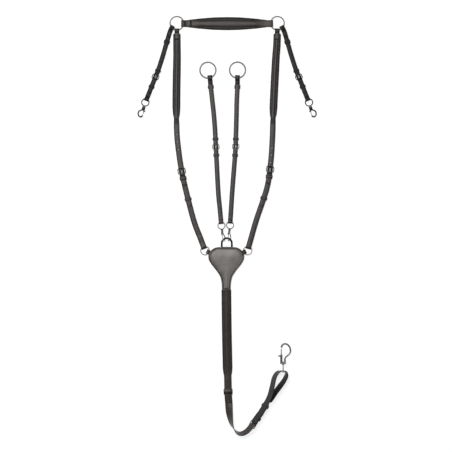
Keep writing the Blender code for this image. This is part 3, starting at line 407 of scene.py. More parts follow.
def section(half, low, high, cut):
    """A strap's cross-section as (across, up, cut edge or not), once round from the middle of its back."""
    radius, inset, depth, crown = cut
    r = min(radius, half / 3, (high - low) / 2.1)
    inner = half - min(inset, half * 0.35)
    layers = 0.3 if high - low > 3.6 and radius < 1 else 0.0
    middle = (low + high) / 2
    right = [(0.0, low, 0.0), (inner, low, 0.0)]
    for turn in CORNER:
        a = math.radians(turn - 90)
        right.append((half - r + r * math.cos(a), low + r + r * math.sin(a), turn / 90))
    right += [(half, middle - 0.2, 1.0), (half - layers, middle, 1.0), (half, middle + 0.2, 1.0)]
    for turn in CORNER:
        a = math.radians(turn)
        right.append((half - r + r * math.cos(a), high - r + r * math.sin(a), 1 - turn / 90))
    right += [(inner + 0.5, high, 0.0), (inner, high - depth, 0.6), (inner - 0.5, high, 0.0)]
    right += [(inner * f, high + crown * (1 - f * f), 0.0) for f in (0.8, 0.55, 0.28)]
    left = [(-y, z, mark) for y, z, mark in right[:0:-1]]
    return right + [(0.0, high + crown, 0.0)] + left


class Shape:
    """A piece being made: points in millimetres, faces, and how far each point lies on a cut edge."""

    def __init__(self):
        self.points = []
        self.marks = []
        self.faces = []

    def loft(self, rings, capped=True, marks=None):
        """Skins a list of point rings, closed at both ends or joined into a tube."""
        first = len(self.points)
        count = len(rings[0])
        for ring in rings:
            self.points += [tuple(p) for p in ring]
            self.marks += marks or [0.0] * count
        starts = [first + k * count for k in range(len(rings))]
        pairs = list(zip(starts, starts[1:]))
        if capped:
            self.faces.append(tuple(range(first, first + count)))
            self.faces.append(tuple(range(starts[-1], starts[-1] + count)))
        else:
            pairs.append((starts[-1], first))
        for a, b in pairs:
            for i in range(count):
                j = (i + 1) % count
                self.faces.append((a + i, a + j, b + j, b + i))

    def strap(self, path, rows, step, cut=BRIDLE, crowns=None):
        """A strap along a path: rows of (length, half width, underside, top), crowns of (length, rise)."""
        stops = [rows[0][0]]
        for low, high in zip(rows, rows[1:]):
            count = max(1, math.ceil((high[0] - low[0]) / step))
            stops += [low[0] + (high[0] - low[0]) * k / count for k in range(1, count + 1)]
        rings = []
        for u in stops:
            at = path.frame(u)
            rise = between(crowns, u) if crowns else cut[3:]
            ring = section(*between(rows, u), (*cut[:3], *rise))
            rings.append([at @ Vector((0.0, y, z)) for y, z, _ in ring])
        self.loft(rings, True, [mark for _, _, mark in ring])

    def rod(self, at, points, radius, sides=20, closed=False, steps=1):
        """A round rod through points in a frame; a point's fourth number is its own radius."""
        line = [Vector((*p[:3], p[3] if len(p) > 3 else radius)) for p in points]
        line = curve_through(line, steps, closed) if steps > 1 else line
        pts = [p.xyz for p in line]
        count = len(pts)
        up = None
        rings = []
        for k, p in enumerate(pts):
            before = pts[(k - 1) % count] if closed or k else p
            after = pts[(k + 1) % count] if closed or k < count - 1 else p
            along = (after - before).normalized()
            if up is None:
                up = Vector((0, 0, 1)) if abs(along.z) < 0.9 else Vector((0, 1, 0))
            up = (up - along * up.dot(along)).normalized()
            side = along.cross(up)
            turns = [2 * math.pi * (i + 0.5) / sides for i in range(sides)]
            rings.append([at @ (p + (up * math.cos(a) + side * math.sin(a)) * line[k].w) for a in turns])
        self.loft(rings, not closed)

    def block(self, at, low, high):
        """A plain block between two corners in a frame, for cutting."""
        rings = []
        for x in (low[0], high[0]):
            corners = ((low[1], low[2]), (high[1], low[2]), (high[1], high[2]), (low[1], high[2]))
            rings.append([at @ Vector((x, y, z)) for y, z in corners])
        self.loft(rings)

    def band(self, at, half, low, high, length, wall):
        """A keeper: a closed leather band with rounded corners and edges, round a strap."""

        def corners(extra):
            y, z0, z1 = half + extra, low - extra, high + extra
            r = min(0.5 + extra * 0.9, (z1 - z0) / 2.1)
            ring = []
            centres = ((y - r, z0 + r), (y - r, z1 - r), (r - y, z1 - r), (r - y, z0 + r))
            for (cy, cz), start in zip(centres, (-90, 0, 90, 180)):
                for turn in (0, 22, 45, 68, 90):
                    a = math.radians(start + turn)
                    ring.append((cy + r * math.cos(a), cz + r * math.sin(a)))
            return ring

        x, e = length / 2, 0.45
        crease = wall - 0.18
        spans = [(-x, e), (-x, wall - e), (e - x, wall), (1.3 - x, wall), (1.6 - x, crease), (1.9 - x, wall)]
        spans += [(-a, w) for a, w in spans[::-1]] + [(x - e, 0.0), (e - x, 0.0)]
        marks = [0.0] * 20
        rings = [[at @ Vector((a, y, z)) for y, z in corners(w)] for a, w in spans]
        self.loft(rings, False, marks)

    def stitch(self, a, b, up):
        """One stitch from a to b, sunk into the leather at both ends."""
        radius = settings().thread_size / MM / 2
        along = (b - a).normalized()
        side = along.cross(up)
        rings = []
        for share, size, sink in ((0.0, 0.35, -0.5), (0.22, 1.0, 0.1), (0.78, 1.0, 0.1), (1.0, 0.35, -0.5)):
            p = a.lerp(b, share) + up * sink * radius
            turns = [2 * math.pi * i / 5 for i in range(5)]
            rings.append([p + (up * math.cos(t) + side * math.sin(t)) * radius * size for t in turns])
        self.loft(rings)

    def seam(self, line, up=Vector((0, 0, 1))):
        """Stitches all along a dense line of (point, up) pairs or points."""
        s = settings()
        pitch = s.stitch_pitch / MM
        pairs = [p if isinstance(p, tuple) else (p, up) for p in line]
        marks = [0.0]
        for (a, _), (b, _) in zip(pairs, pairs[1:]):
            marks.append(marks[-1] + (b - a).length)

        def at(length):
            k = 1
            while k < len(marks) - 1 and marks[k] < length:
                k += 1
            share = (length - marks[k - 1]) / max(marks[k] - marks[k - 1], 1e-6)
            return pairs[k - 1][0].lerp(pairs[k][0], share), pairs[k][1]

        for k in range(int(marks[-1] / pitch)):
            start, lift = at(k * pitch + pitch * 0.08)
            stop, _ = at(k * pitch + pitch * 0.92)
            slant = (stop - start).normalized().cross(lift) * 0.16
            self.stitch(start - slant, stop + slant, lift)

    def strap_seams(self, path, rows, start, stop, inset=None, face=1, crown=0.0):
        """A line of stitches along both edges of a strap, on its face or its back."""
        inset = settings().stitch_inset / MM if inset is None else inset
        for side in (1, -1):
            line = []
            steps = max(2, int((stop - start) / 3.0))
            for k in range(steps + 1):
                u = start + (stop - start) * k / steps
                half, low, high = between(rows, u)
                at = path.frame(u)
                z = high + crown if face > 0 else low
                line.append((at @ Vector((0, side * (half - inset), z)), at.to_3x3() @ Vector((0, 0, face))))
            self.seam(line)

    def cross_seam(self, path, rows, u, share=0.78):
        """A line of stitches straight across a strap."""
        half, _, high = between(rows, u)
        at = path.frame(u)
        up = at.to_3x3() @ Vector((0, 0, 1))
        self.seam([(at @ Vector((0, y * half * share, high)), up) for y in (-1, 1)])

    def make(self, name, *finishes, sharp=38.0):
        """The piece as an object, with its faces turned outwards and its cut edges marked."""
        mesh = bpy.data.meshes.new(name)
        mesh.from_pydata([[c * MM for c in p] for p in self.points], [], self.faces)
        mesh.attributes.new("edge", "FLOAT", "POINT").data.foreach_set("value", self.marks)
        for finish in finishes:
            mesh.materials.append(finish)
        piece = bpy.data.objects.new(name, mesh)
        bpy.context.scene.collection.objects.link(piece)
        only(piece)
        bpy.ops.object.mode_set(mode="EDIT")
        bpy.ops.mesh.select_all(action="SELECT")
        bpy.ops.mesh.normals_make_consistent(inside=False)
        bpy.ops.object.mode_set(mode="OBJECT")
        bpy.ops.object.shade_smooth_by_angle(angle=math.radians(sharp))
        return piece


def only(obj):
    """Selects one object and nothing else."""
    bpy.ops.object.select_all(action="DESELECT")
    obj.select_set(True)
    bpy.context.view_layer.objects.active = obj


def cut_away(piece, shape, operation="DIFFERENCE"):
    """Cuts a shape out of a piece, or joins it on, and removes the cutter."""
    cutter = shape.make(piece.name + "_cutter", *piece.data.materials)
    only(piece)
    modifier = piece.modifiers.new("Cut", "BOOLEAN")
    modifier.operation = operation
    modifier.solver = "EXACT"
    modifier.object = cutter
    bpy.ops.object.modifier_apply(modifier="Cut")
    bpy.data.objects.remove(cutter)
    bpy.ops.object.shade_smooth_by_angle(angle=math.radians(38))


def place(piece, body, slot, *nodes):
    """Hands a finished piece to its body, its finish slot and the solids that it stands for."""
    if nodes:
        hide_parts(*nodes)
    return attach(piece, body)


# Turned ends, as rows of (length, half width, underside, top)
TURNS = (8, 22, 38, 54, 72, 90)
CHAPE_RISE = BAR_R + 0.25 + 1.6
TWO_LAYERS = (STRAP_Z - 0.8, STRAP_Z + 3.4)
ONE_LAYER = (STRAP_Z, STRAP_Z + STRAP_T)
SECOND_LAYER = (ON_TOP, ON_TOP + STRAP_T)
OVER_PAD = (4.7, 4.7 + STRAP_T)


def fold_rows(tip, direction, centre, reach, rise, half, body):
    """Rows of a strap end turned round a bar: reach is from tip to bar, rise the fold's half height."""
    rows = []
    for turn in TURNS:
        a = math.radians(turn)
        h = rise * math.sin(a)
        rows.append((tip + direction * reach * (1 - math.cos(a)), half, centre - h, centre + h))
    rows += [(tip + direction * d, half, low, high) for d, low, high in body]
    return rows if direction > 0 else rows[::-1]


def ring_fold(tip, direction, centre, reach, rise, half, double):
    """Rows of a strap turned round a ring or a snap's eye, stitched, then single."""
    body = [(reach + 3.5, centre - rise * 0.9, centre + rise * 0.9)]
    body += [(reach + 8.0, (centre - rise * 0.9) * 0.5 + STRAP_Z * 0.5, centre * 0.5 + rise * 0.45 + 3.3)]
    body += [(reach + 13.0, STRAP_Z, STRAP_Z + 4.2), (reach + double, STRAP_Z, STRAP_Z + 4.2)]
    body += [(reach + double + 3.0, *ONE_LAYER)]
    return fold_rows(tip, direction, centre, reach, rise, half, body)


def chape_rows(bar_u, direction, half, length):
    """Rows of a strap that wraps a heel bar and runs away from the free bar."""
    tip = bar_u + direction * CHAPE_RISE
    body = [(CHAPE_RISE + 3.0, HEEL_Z - 2.7, HEEL_Z + 2.7), (CHAPE_RISE + 7.0, *TWO_LAYERS)]
    body += [(CHAPE_RISE + length - 4, *TWO_LAYERS), (CHAPE_RISE + length, *ONE_LAYER)]
    return fold_rows(tip, -direction, HEEL_Z, CHAPE_RISE, CHAPE_RISE, half, body)


def billet_rows(bar_u, direction, half, chape, length):
    """Rows of the billet from under the free bar, over the heel bar and chape."""
    above = STRAP_Z + 3.4 + GAP
    table = [(length + 8, STRAP_Z), (length - 2.2, STRAP_Z + 0.05), (length * 0.55, 3.9), (2.6, 7.05)]
    table += [(0.0, 7.5), (-3.2, 7.3), (-7.6, above), (-chape - 2.0, above), (-chape - 8.0, ON_TOP)]
    rows = [(bar_u + direction * x, half, z, z + STRAP_T) for x, z in table]
    return rows if direction < 0 else rows[::-1]


def rounded_end(u, half, low, high, direction):
    """Rows that round off a strap's tip."""
    rows = []
    for share in (0.0, 0.02, 0.08, 0.18, 0.32, 0.5, 0.72, 1.0):
        width = half * max(0.16, math.sqrt(1 - (1 - share) ** 2))
        rows.append((u - direction * half * 0.8 * share, width, low, high))
    return rows if direction < 0 else rows[::-1]


def buckle_frame(path, bar_u, direction):
    """The frame at a buckle's heel bar, x towards its free bar."""
    return path.frame(bar_u) @ Matrix.Rotation(0.0 if direction > 0 else math.pi, 4, "Z")


def chape_cut(at, half):
    """The heel bar's bore and the tongue's slot, to be cut from a chape."""
    bore, slot = Shape(), Shape()
    r = BAR_R + 0.25
    heel = Matrix.Translation((0, 0, HEEL_Z))
    bore.rod(at @ heel, [(0, -half - 2, 0), (0, half + 2, 0)], r * 1.02, 20)
    slot.block(at, (-4.3, -1.7, HEEL_Z - 6), (6.0, 1.7, HEEL_Z + 6))
    return bore, slot


def tongue_slot(at):
    """The billet's long hole that the tongue comes up through, with round ends."""
    slot = Shape()
    outline = []
    for centre, start in ((10.1, -90), (3.0, 90)):
        for turn in range(0, 181, 30):
            a = math.radians(start + turn)
            outline.append((centre + 1.7 * math.cos(a), 1.7 * math.sin(a)))
    slot.loft([[at @ Vector((x, y, HEEL_Z + z)) for x, y in outline] for z in (-5, 9)])
    return slot


def punches(path, holes, back=0.9, face=1.9):
    """Round punches through a strap, each a little narrower at the back, as a punch leaves them."""
    shape = Shape()
    for hole in holes:
        at = path.frame(path.nearest(*hole))
        line = [(-2, back), (STRAP_Z + 0.6, back), (STRAP_Z + 1.9, face - 0.3), (14, face)]
        shape.rod(at, [(0, 0, z, r) for z, r in line], 1, 20)
    return shape


def torus(at, radius, wire, fit=0.0, sides=20, count=72):
    """A ring's round wire."""
    shape = Shape()
    turns = [2 * math.pi * k / count for k in range(count)]
    points = [(radius * math.cos(a), radius * math.sin(a), 0) for a in turns]
    shape.rod(at, points, wire + fit, sides, True)
    return shape


def ring_room(name, fit=0.3):
    x, y, z, radius, wire = RINGS[name]
    return torus(Matrix.Translation((x, y, z)), radius, wire, fit, 16, 60)


# Metal pieces
def make_buckle(name, body, at, half, finish, slot, length):
    """A strap buckle's frame: a round heel bar, bowed cheeks and a rounded free bar, slightly flattened."""
    wide = half + BAR_R + 1.3
    slope = BUCKLE_RISE / length
    side = [(1.4, wide - 0.3), (length * 0.3, wide + 0.15), (length * 0.7, wide + 0.15)]
    side.append((length - 1.6, wide - 0.8))
    right = [(0, half * 0.5, 0, BAR_R), (0, wide - 1.7, 0, BAR_R)]
    right += [(x, y, slope * x, BAR_R + 0.1) for x, y in side]
    right += [(length, wide - 3.0, BUCKLE_RISE, BAR_R), (length, half * 0.45, BUCKLE_RISE, BAR_R)]
    left = [(x, -y, z, r) for x, y, z, r in right[::-1]]
    shape = Shape()
    heel = at @ Matrix.Translation((0, 0, HEEL_Z))
    shape.rod(heel, right + left, BAR_R, 20, True, 6)
    place(shape.make(name + "_Frame", finish), body, slot, name)


def make_tongue(name, body, at, finish, slot, length):
    """The tongue: an eye round the heel bar and an arm resting on the free bar."""
    wire = 1.0
    eye = BAR_R + 0.25 + wire
    turns = [math.radians(a) for a in range(335, 39, -15)]
    points = [(eye * math.cos(a), 0, eye * math.sin(a)) for a in turns]
    start = Vector(points[-1])
    end = Vector((length + 1.9, 0, BUCKLE_RISE + BAR_R + 0.25 + wire + 0.2))
    points += [tuple(start.lerp(end, share)) for share in (0.12, 0.35, 0.6, 0.85)]
    radii = [wire] * len(points)
    points += [tuple(end), tuple(start.lerp(end, 1.02))]
    radii += [wire * 0.8, wire * 0.45]
    shape = Shape()
    rod = [(*p, r) for p, r in zip(points, radii)]
    shape.rod(at @ Matrix.Translation((0, 0, HEEL_Z)), rod, wire, 16, False, 3)
    place(shape.make(name + "_Pin", finish), body, slot, name)


SNAP_ARM = (
    (14.0, 4.1, 0, 1.9), (19.5, 4.2, 0, 1.7), (25.0, 4.0, 0, 1.6), (29.5, 6.8, 0, 1.6),
    (34.5, 12.6, 0, 1.6), (39.0, 15.3, 0, 1.6), (44.5, 15.6, 0, 1.6), (50.0, 13.9, 0, 1.6),
    (54.6, 10.3, 0, 1.6), (56.9, 5.4, 0, 1.7), (56.0, 0.6, 0, 1.8), (53.0, -2.4, 0, 1.9),
    (48.6, -3.6, 0, 1.7),
)
CROOK_FROM = 48.0
# A saddle snap's eye: its radius and its wire's radius
SNAP_EYE = (12.1, 1.8)
# Where the hook's collar starts, and its room to the eye
COLLAR_FROM = 13.2
EYE_ROOM = 0.4
GATE_Y = -3.9
KNOB_X = 31.0


def grown(points, s):
    return [tuple(c * s for c in p) for p in points]


# The thin web of cast metal between the snap's arm and its barrel
GIRTH_WEB = ((15.5, -2.1), (19.0, -2.1), (19.6, -0.6), (19.6, 3.0), (19.0, 4.4), (15.5, 4.4))
SNAP_WEB = ((15.5, -2.1), (28.4, -2.1), (30.0, -0.6), (30.6, 3.0), (29.5, 6.2), (25.0, 4.4), (15.5, 4.4))


def make_snap(
    prefix, bodies, eye_at, at, finish, slot, s=1.0, eye=SNAP_EYE, oval=None,
    thick=1.0, crook=1.0, web_plan=SNAP_WEB,
):
    """A swivel bolt snap in three pieces: eye with its post, cast hook, and spring bolt with a thumb knob."""
    radius, wire = eye
    eye_body, hook_body, bolt_body = bodies
    shape = Shape()
    if oval:
        shape.rod(eye_at, oval, wire, 20, True, 6)
    else:
        shape = torus(eye_at, radius, wire)
    reach = max(p[0] for p in oval) if oval else radius
    shift = reach + wire + EYE_ROOM - COLLAR_FROM * s
    at = at @ Matrix.Translation((shift, 0, 0))
    ring = shape.make(prefix + "_Snap_Swivel", finish)
    post = Shape()
    neck = [(reach - 0.4, 0, 0, 1.2 * s), (reach + 0.2, 0, 0, 2.3 * s), (reach + 1.2, 0, 0, 1.6 * s)]
    neck += [(reach + 1.6, 0, 0, 1.4 * s), (16.5 * s + shift, 0, 0, 1.4 * s)]
    neck += [(x * s + shift, 0, 0, r * s) for x, r in ((16.6, 2.2), (18.0, 2.2), (18.3, 1.7))]
    post.rod(eye_at, neck, 1, 20)
    cut_away(ring, post, "UNION")
    place(ring, eye_body, slot, prefix + "_Snap_Eye")

    arm = Shape()
    line = [(x * s, y * s, z * s, r * s * (thick if x < CROOK_FROM else crook)) for x, y, z, r in SNAP_ARM]
    arm.rod(at, line, 1, 20, False, 5)
    hook = arm.make(prefix + "_Snap_Casting", finish)
    gate = GATE_Y * s
    barrel = Shape()
    line = [(14.0, 2.3), (14.4, 2.65), (15.0, 2.75), (30.4, 2.75), (31.0, 2.95), (33.4, 2.95), (34.0, 2.5)]
    barrel.rod(at, [(x * s, gate, 0, r * s) for x, r in line], 1, 24)
    cut_away(hook, barrel, "UNION")
    collar = Shape()
    line = [(COLLAR_FROM, 4.9), (13.5, 5.4), (14.0, 5.6), (15.2, 5.6), (15.7, 5.4), (16.0, 4.9)]
    collar.rod(at, grown([(x, 0, 0, r) for x, r in line], s), 1, 32)
    cut_away(hook, collar, "UNION")
    web = Shape()
    web.loft([[at @ Vector((x * s, y * s, z * s)) for x, y in web_plan] for z in (-0.9, 0.9)])
    cut_away(hook, web, "UNION")
    cuts = [Shape() for _ in range(4)]
    cuts[0].rod(at, [(17.4 * s, gate, 0), (36.0 * s, gate, 0)], 1.65 * s, 20)
    cuts[1].block(at, (21.4 * s, -9.5 * s, -1.15 * s), (32.6 * s, -3.6 * s, 1.15 * s))
    cuts[2].rod(at, grown([(12.0, 0, 0), (16.25, 0, 0)], s), 1.8 * s, 20)
    cuts[3].rod(at, grown([(15.9, 0, 0), (18.8, 0, 0)], s), 2.75 * s, 20)
    for cut in cuts:
        cut_away(hook, cut)
    place(hook, hook_body, slot, prefix + "_Snap_Hook")

    bolt = Shape()
    line = [(26.0, 1.25), (46.0, 1.25), (46.6, 1.1), (46.9, 0.8)]
    bolt.rod(at, [(x * s, gate, 0, r * s) for x, r in line], 1, 20)
    pin = bolt.make(prefix + "_Snap_Plunger", finish)
    knob = Shape()
    knob_at = at @ Matrix.Translation((KNOB_X * s, gate, 0)) @ Matrix.Rotation(-math.pi / 2, 4, "Z")
    line = [(0.2, 0.85), (3.4, 0.85), (3.6, 1.7), (3.9, 2.1), (4.6, 2.3), (5.4, 2.25)]
    line += [(6.0, 1.95), (6.3, 1.5), (6.4, 0.9)]
    knob.rod(knob_at, grown([(x, 0, 0, r) for x, r in line], s), 1, 20)
    cut_away(pin, knob, "UNION")
    place(pin, bolt_body, slot, prefix + "_Snap_Bolt")


# The straps. Points and marks are the cutting plan's, in millimetres
MIDDLE_X = 2.45
WITHERS_Y = 786.6
FOLD_SAG = 0.74
FOLD_LINE = (MIDDLE_X, UPPER_RING_Y - UPPER_RING_R + FOLD_SAG, RING_Z)


def mirrored(points):
    return [(2 * MIDDLE_X - x, y) for x, y in points]


def make_rings():
    """Welded steel rings, with a faint flat where each was closed and ground."""
    bodies = {"Upper": "_upper_ring", "Fork": "_fork_ring", "Chest": "_chest_ring"}
    for name, (x, y, z, radius, wire) in RINGS.items():
        side, kind, _ = name.split("_")
        shape = Shape()
        turns = [2 * math.pi * k / 96 for k in range(96)]
        points = []
        for turn in turns:
            weld = 0.1 * math.exp(-((turn - 2.2) / 0.06) ** 2)
            points.append((radius * math.cos(turn), radius * math.sin(turn), 0, wire + weld))
        shape.rod(Matrix.Translation((x, y, z)), points, wire, 24, True)
        place(shape.make(name + "_Welded", stainless()), side.lower() + bodies[kind], "silver_steel", name)


def make_withers():
    """The withers strap: a folded cover stitched to a wider, softly padded lining."""
    tip = 13.9
    left_x, right_x = (RINGS[side + "_Upper_Ring"][0] for side in ("Left", "Right"))
    path = Path([(left_x + tip, WITHERS_Y), (MIDDLE_X, WITHERS_Y), (right_x - tip, WITHERS_Y)])
    length = path.length
    mid = length / 2
    rise = UPPER_WIRE + WIRE_ROOM + FOLD_WALL

    def end(at, direction):
        body = [(9.5, RING_Z - 4.0, RING_Z + 4.0), (14.0, 3.4, 9.5), (19.0, 4.6, 8.8), (31.0, 4.6, 8.8)]
        return fold_rows(at, direction, RING_Z, 6.7, rise, 11.6, body + [(34.0, 4.6, 7.2)])

    rows = end(0.0, 1)
    rows += [(mid - 60, 13.6, 4.9, 7.5), (mid, 14.8, 4.9, 7.5), (mid + 60, 13.6, 4.9, 7.5)]
    rows += end(length, -1)
    shape = Shape()
    domed = ((36.0, 0.3), (60.0, 1.6), (length - 60.0, 1.6), (length - 36.0, 0.3))
    shape.strap(path, rows, 3.0, BRIDLE, domed)
    cover = shape.make("Withers_Cover_Leather", bridle_leather())
    for side in ("Left", "Right"):
        cut_away(cover, ring_room(side + "_Upper_Ring"))
    place(cover, "withers", "black_leather", "Withers_Cover")

    seams = Shape()
    seams.strap_seams(path, rows, 36.0, length - 36.0, 2.4, 1, 0.1)
    for start, stop in ((14.0, 30.0), (length - 30.0, length - 14.0)):
        seams.strap_seams(path, rows, start, stop, 2.6)
    for u in (12.5, 31.0, length - 31.0, length - 12.5):
        seams.cross_seam(path, rows, u)
    place(seams.make("Withers_Stitching", waxed_thread()), "withers", None)

    half_rows = [(21.0, 10.5), (22.2, 11.8), (24.0, 12.6), (60.0, 17.0), (110.0, 20.9), (mid, 21.8)]
    lining = [(u, w, 0.5, 4.2) for u, w in half_rows]
    lining += [(length - u, w, 0.5, 4.2) for u, w in half_rows[-2::-1]]
    pad = Shape()
    pad.strap(path, lining, 3.0, (1.75, 2.9, 0.55, 0.35))
    piece = place(pad.make("Withers_Padded_Lining", padded_leather(), sharp=75), "withers", "black_leather",
                  "Withers_Lining")


SHOULDERS = {
    "Left": {
        "plan": (
            (-163.4, 770.9), (-163.2, 715.0), (-163.0, 666.6), (-165.0, 534.6), (-163.6, 430.0),
            (-158.1, 370.9), (-148.5, 305.0), (-136.0, 246.5), (-108.2, 138.6), (-85.0, 76.6),
        ),
        "away": 110.5,
        "bar": (-146.2, 292.0),
        "runner": (-125.6, 206.9),
        "tip": (-119.5, 181.0),
        "holes": ((-164.0, 421.1), (-161.0, 396.3), (-158.3, 371.6), (-136.0, 246.5)),
    },
    "Right": {
        "plan": (
            (168.2, 770.9), (166.6, 715.0), (163.0, 666.6), (157.1, 551.1), (154.1, 476.9), (151.6, 402.6),
            (146.5, 330.0), (134.2, 245.9), (99.0, 138.6), (81.0, 76.6),
        ),
        "away": 74.0,
        "bar": (141.8, 298.0),
        "runner": (122.8, 210.2),
        "tip": (114.8, 183.0),
        "holes": ((149.5, 376.0), (148.0, 352.8), (145.5, 328.7), (134.2, 245.9)),
    },
}
CHEST_TIP = 5.2
# Room for the upper ring's wire in the shoulder strap's fold, as the withers piece turns
BORE_FIT = 0.45
CHEST_FOLD = (7.4, RINGS["Left_Chest_Ring"][4] + WIRE_ROOM + FOLD_WALL)
SHOULDER_BUCKLE = 17.0


def make_shoulder(side):
    """One shoulder strap: upper strap on its pad, lower strap with chape, sewn keeper and runner keeper."""
    data = SHOULDERS[side]
    name = side + "_Shoulder"
    body = "neck_and_girth"
    half = SHOULDER_HALF
    x, y, z, _, _ = RINGS[side + "_Chest_Ring"]
    away = math.radians(data["away"])
    path = Path((*data["plan"], (x + CHEST_TIP * math.cos(away), y + CHEST_TIP * math.sin(away))))
    bar_u, runner_u, tip_u = (path.nearest(*data[key]) for key in ("bar", "runner", "tip"))
    at = buckle_frame(path, bar_u, -1)

    turned_end = [(9.5, RING_Z - 4.0, RING_Z + 4.0), (13.0, 3.0, 9.7), (16.0, 4.0, 8.8), (18.0, 4.7, 8.9)]
    turned_end.append((34.0, 4.7, 8.9))
    rise = UPPER_WIRE + WIRE_ROOM + FOLD_WALL
    rows = fold_rows(0.0, 1, RING_Z, 5.6, rise, SADDLE_HALF, turned_end)
    rows += [(38.0, 6.6, *OVER_PAD), (150.0, 8.0, *OVER_PAD), (262.0, 8.0, *OVER_PAD)]
    rows += [(296.0, 8.6, *OVER_PAD), (316.0, half, *ONE_LAYER)]
    rows += billet_rows(bar_u, -1, half, 34.0, SHOULDER_BUCKLE) + rounded_end(tip_u, half, *SECOND_LAYER, 1)
    shape = Shape()
    domed = ((34.0, 0.3), (60.0, 1.4), (262.0, 1.4), (300.0, 0.3))
    shape.strap(path, rows, 3.0, BRIDLE, domed)
    upper = shape.make(name + "_Upper_Leather", bridle_leather())
    bore = Shape()
    fold_at = Matrix.Translation((RINGS[side + "_Upper_Ring"][0], *FOLD_LINE[1:]))
    bore.rod(fold_at, [(-14, 0, 0), (14, 0, 0)], UPPER_WIRE + FOLD_SAG + BORE_FIT, 28)
    for cut in (bore, tongue_slot(at), punches(path, data["holes"])):
        cut_away(upper, cut)
    place(upper, body, "black_leather", name + "_Upper_Strap")

    widths = ((17.5, 10.4), (18.6, 11.6), (21.0, 12.3), (150.0, 13.2), (262.0, 13.2), (284.0, 11.6))
    padding = [(u, wide, 0.6, 4.0) for u, wide in (*widths, (294.0, 9.4))]
    padding += [(296.6, 8.2, 0.6, 4.0), (298.0, 6.4, 0.9, 3.6)]
    pad = Shape()
    pad.strap(path, padding, 3.0, (1.65, 2.7, 0.5, 0.35))
    piece = pad.make(name + "_Padded_Lining", padded_leather(), sharp=75)
    place(piece, body, "black_leather", name + "_Pad")

    end = path.length
    below = chape_rows(bar_u, -1, half, 34.0)
    turned_end = [(11.5, z - 3.4, z + 3.4), (20.0, STRAP_Z - 0.4, STRAP_Z + 3.8)]
    turned_end += [(44.0, STRAP_Z - 0.4, STRAP_Z + 3.8), (47.0, *ONE_LAYER)]
    below += fold_rows(end, -1, z, *CHEST_FOLD, half, turned_end)
    shape = Shape()
    shape.strap(path, below, 3.0)
    lower = shape.make(name + "_Lower_Leather", bridle_leather())
    for cut in (*chape_cut(at, half), ring_room(side + "_Chest_Ring")):
        cut_away(lower, cut)
    place(lower, body, "black_leather", name + "_Lower_Strap")
    keeper = Shape()
    keeper.band(path.frame(bar_u + 16.5), half + 0.5, STRAP_Z + 2.9, STRAP_Z + 4.1 + STRAP_T, 12.0, 1.6)
    place(keeper.make(name + "_Sewn_Keeper", bridle_leather()), body, "black_leather")
    runner = Shape()
    runner.band(path.frame(runner_u), half + 0.6, STRAP_Z - 0.4, SECOND_LAYER[1] + 0.4, 10.0, 1.6)
    place(runner.make(name + "_Runner_Leather", bridle_leather()), side.lower() + "_shoulder_keeper",
          "black_leather", name + "_Runner_Keeper")

    seams = Shape()
    seams.strap_seams(path, rows, 40.0, 294.0, 2.2, 1, 0.1)
    seams.strap_seams(path, rows, 14.0, 33.0, 2.2)
    seams.cross_seam(path, rows, 12.0)
    seams.cross_seam(path, rows, 34.0)
    seams.cross_seam(path, rows, 295.0)
    seams.strap_seams(path, below, bar_u + 7.0, bar_u + 30.0, 2.2, -1)
    seams.strap_seams(path, below, end - 44.0, end - 14.0, 2.2)
    seams.cross_seam(path, below, end - 12.5)
    seams.cross_seam(path, below, end - 45.0)
    place(seams.make(name + "_Stitching", waxed_thread()), body, None)

    low = side.lower() + "_shoulder"
    make_buckle(name + "_Buckle", low + "_buckle", at, half, gun_metal(), "gunmetal", SHOULDER_BUCKLE)
    make_tongue(name + "_Buckle_Tongue", low + "_tongue", at, gun_metal(), "gunmetal", SHOULDER_BUCKLE)


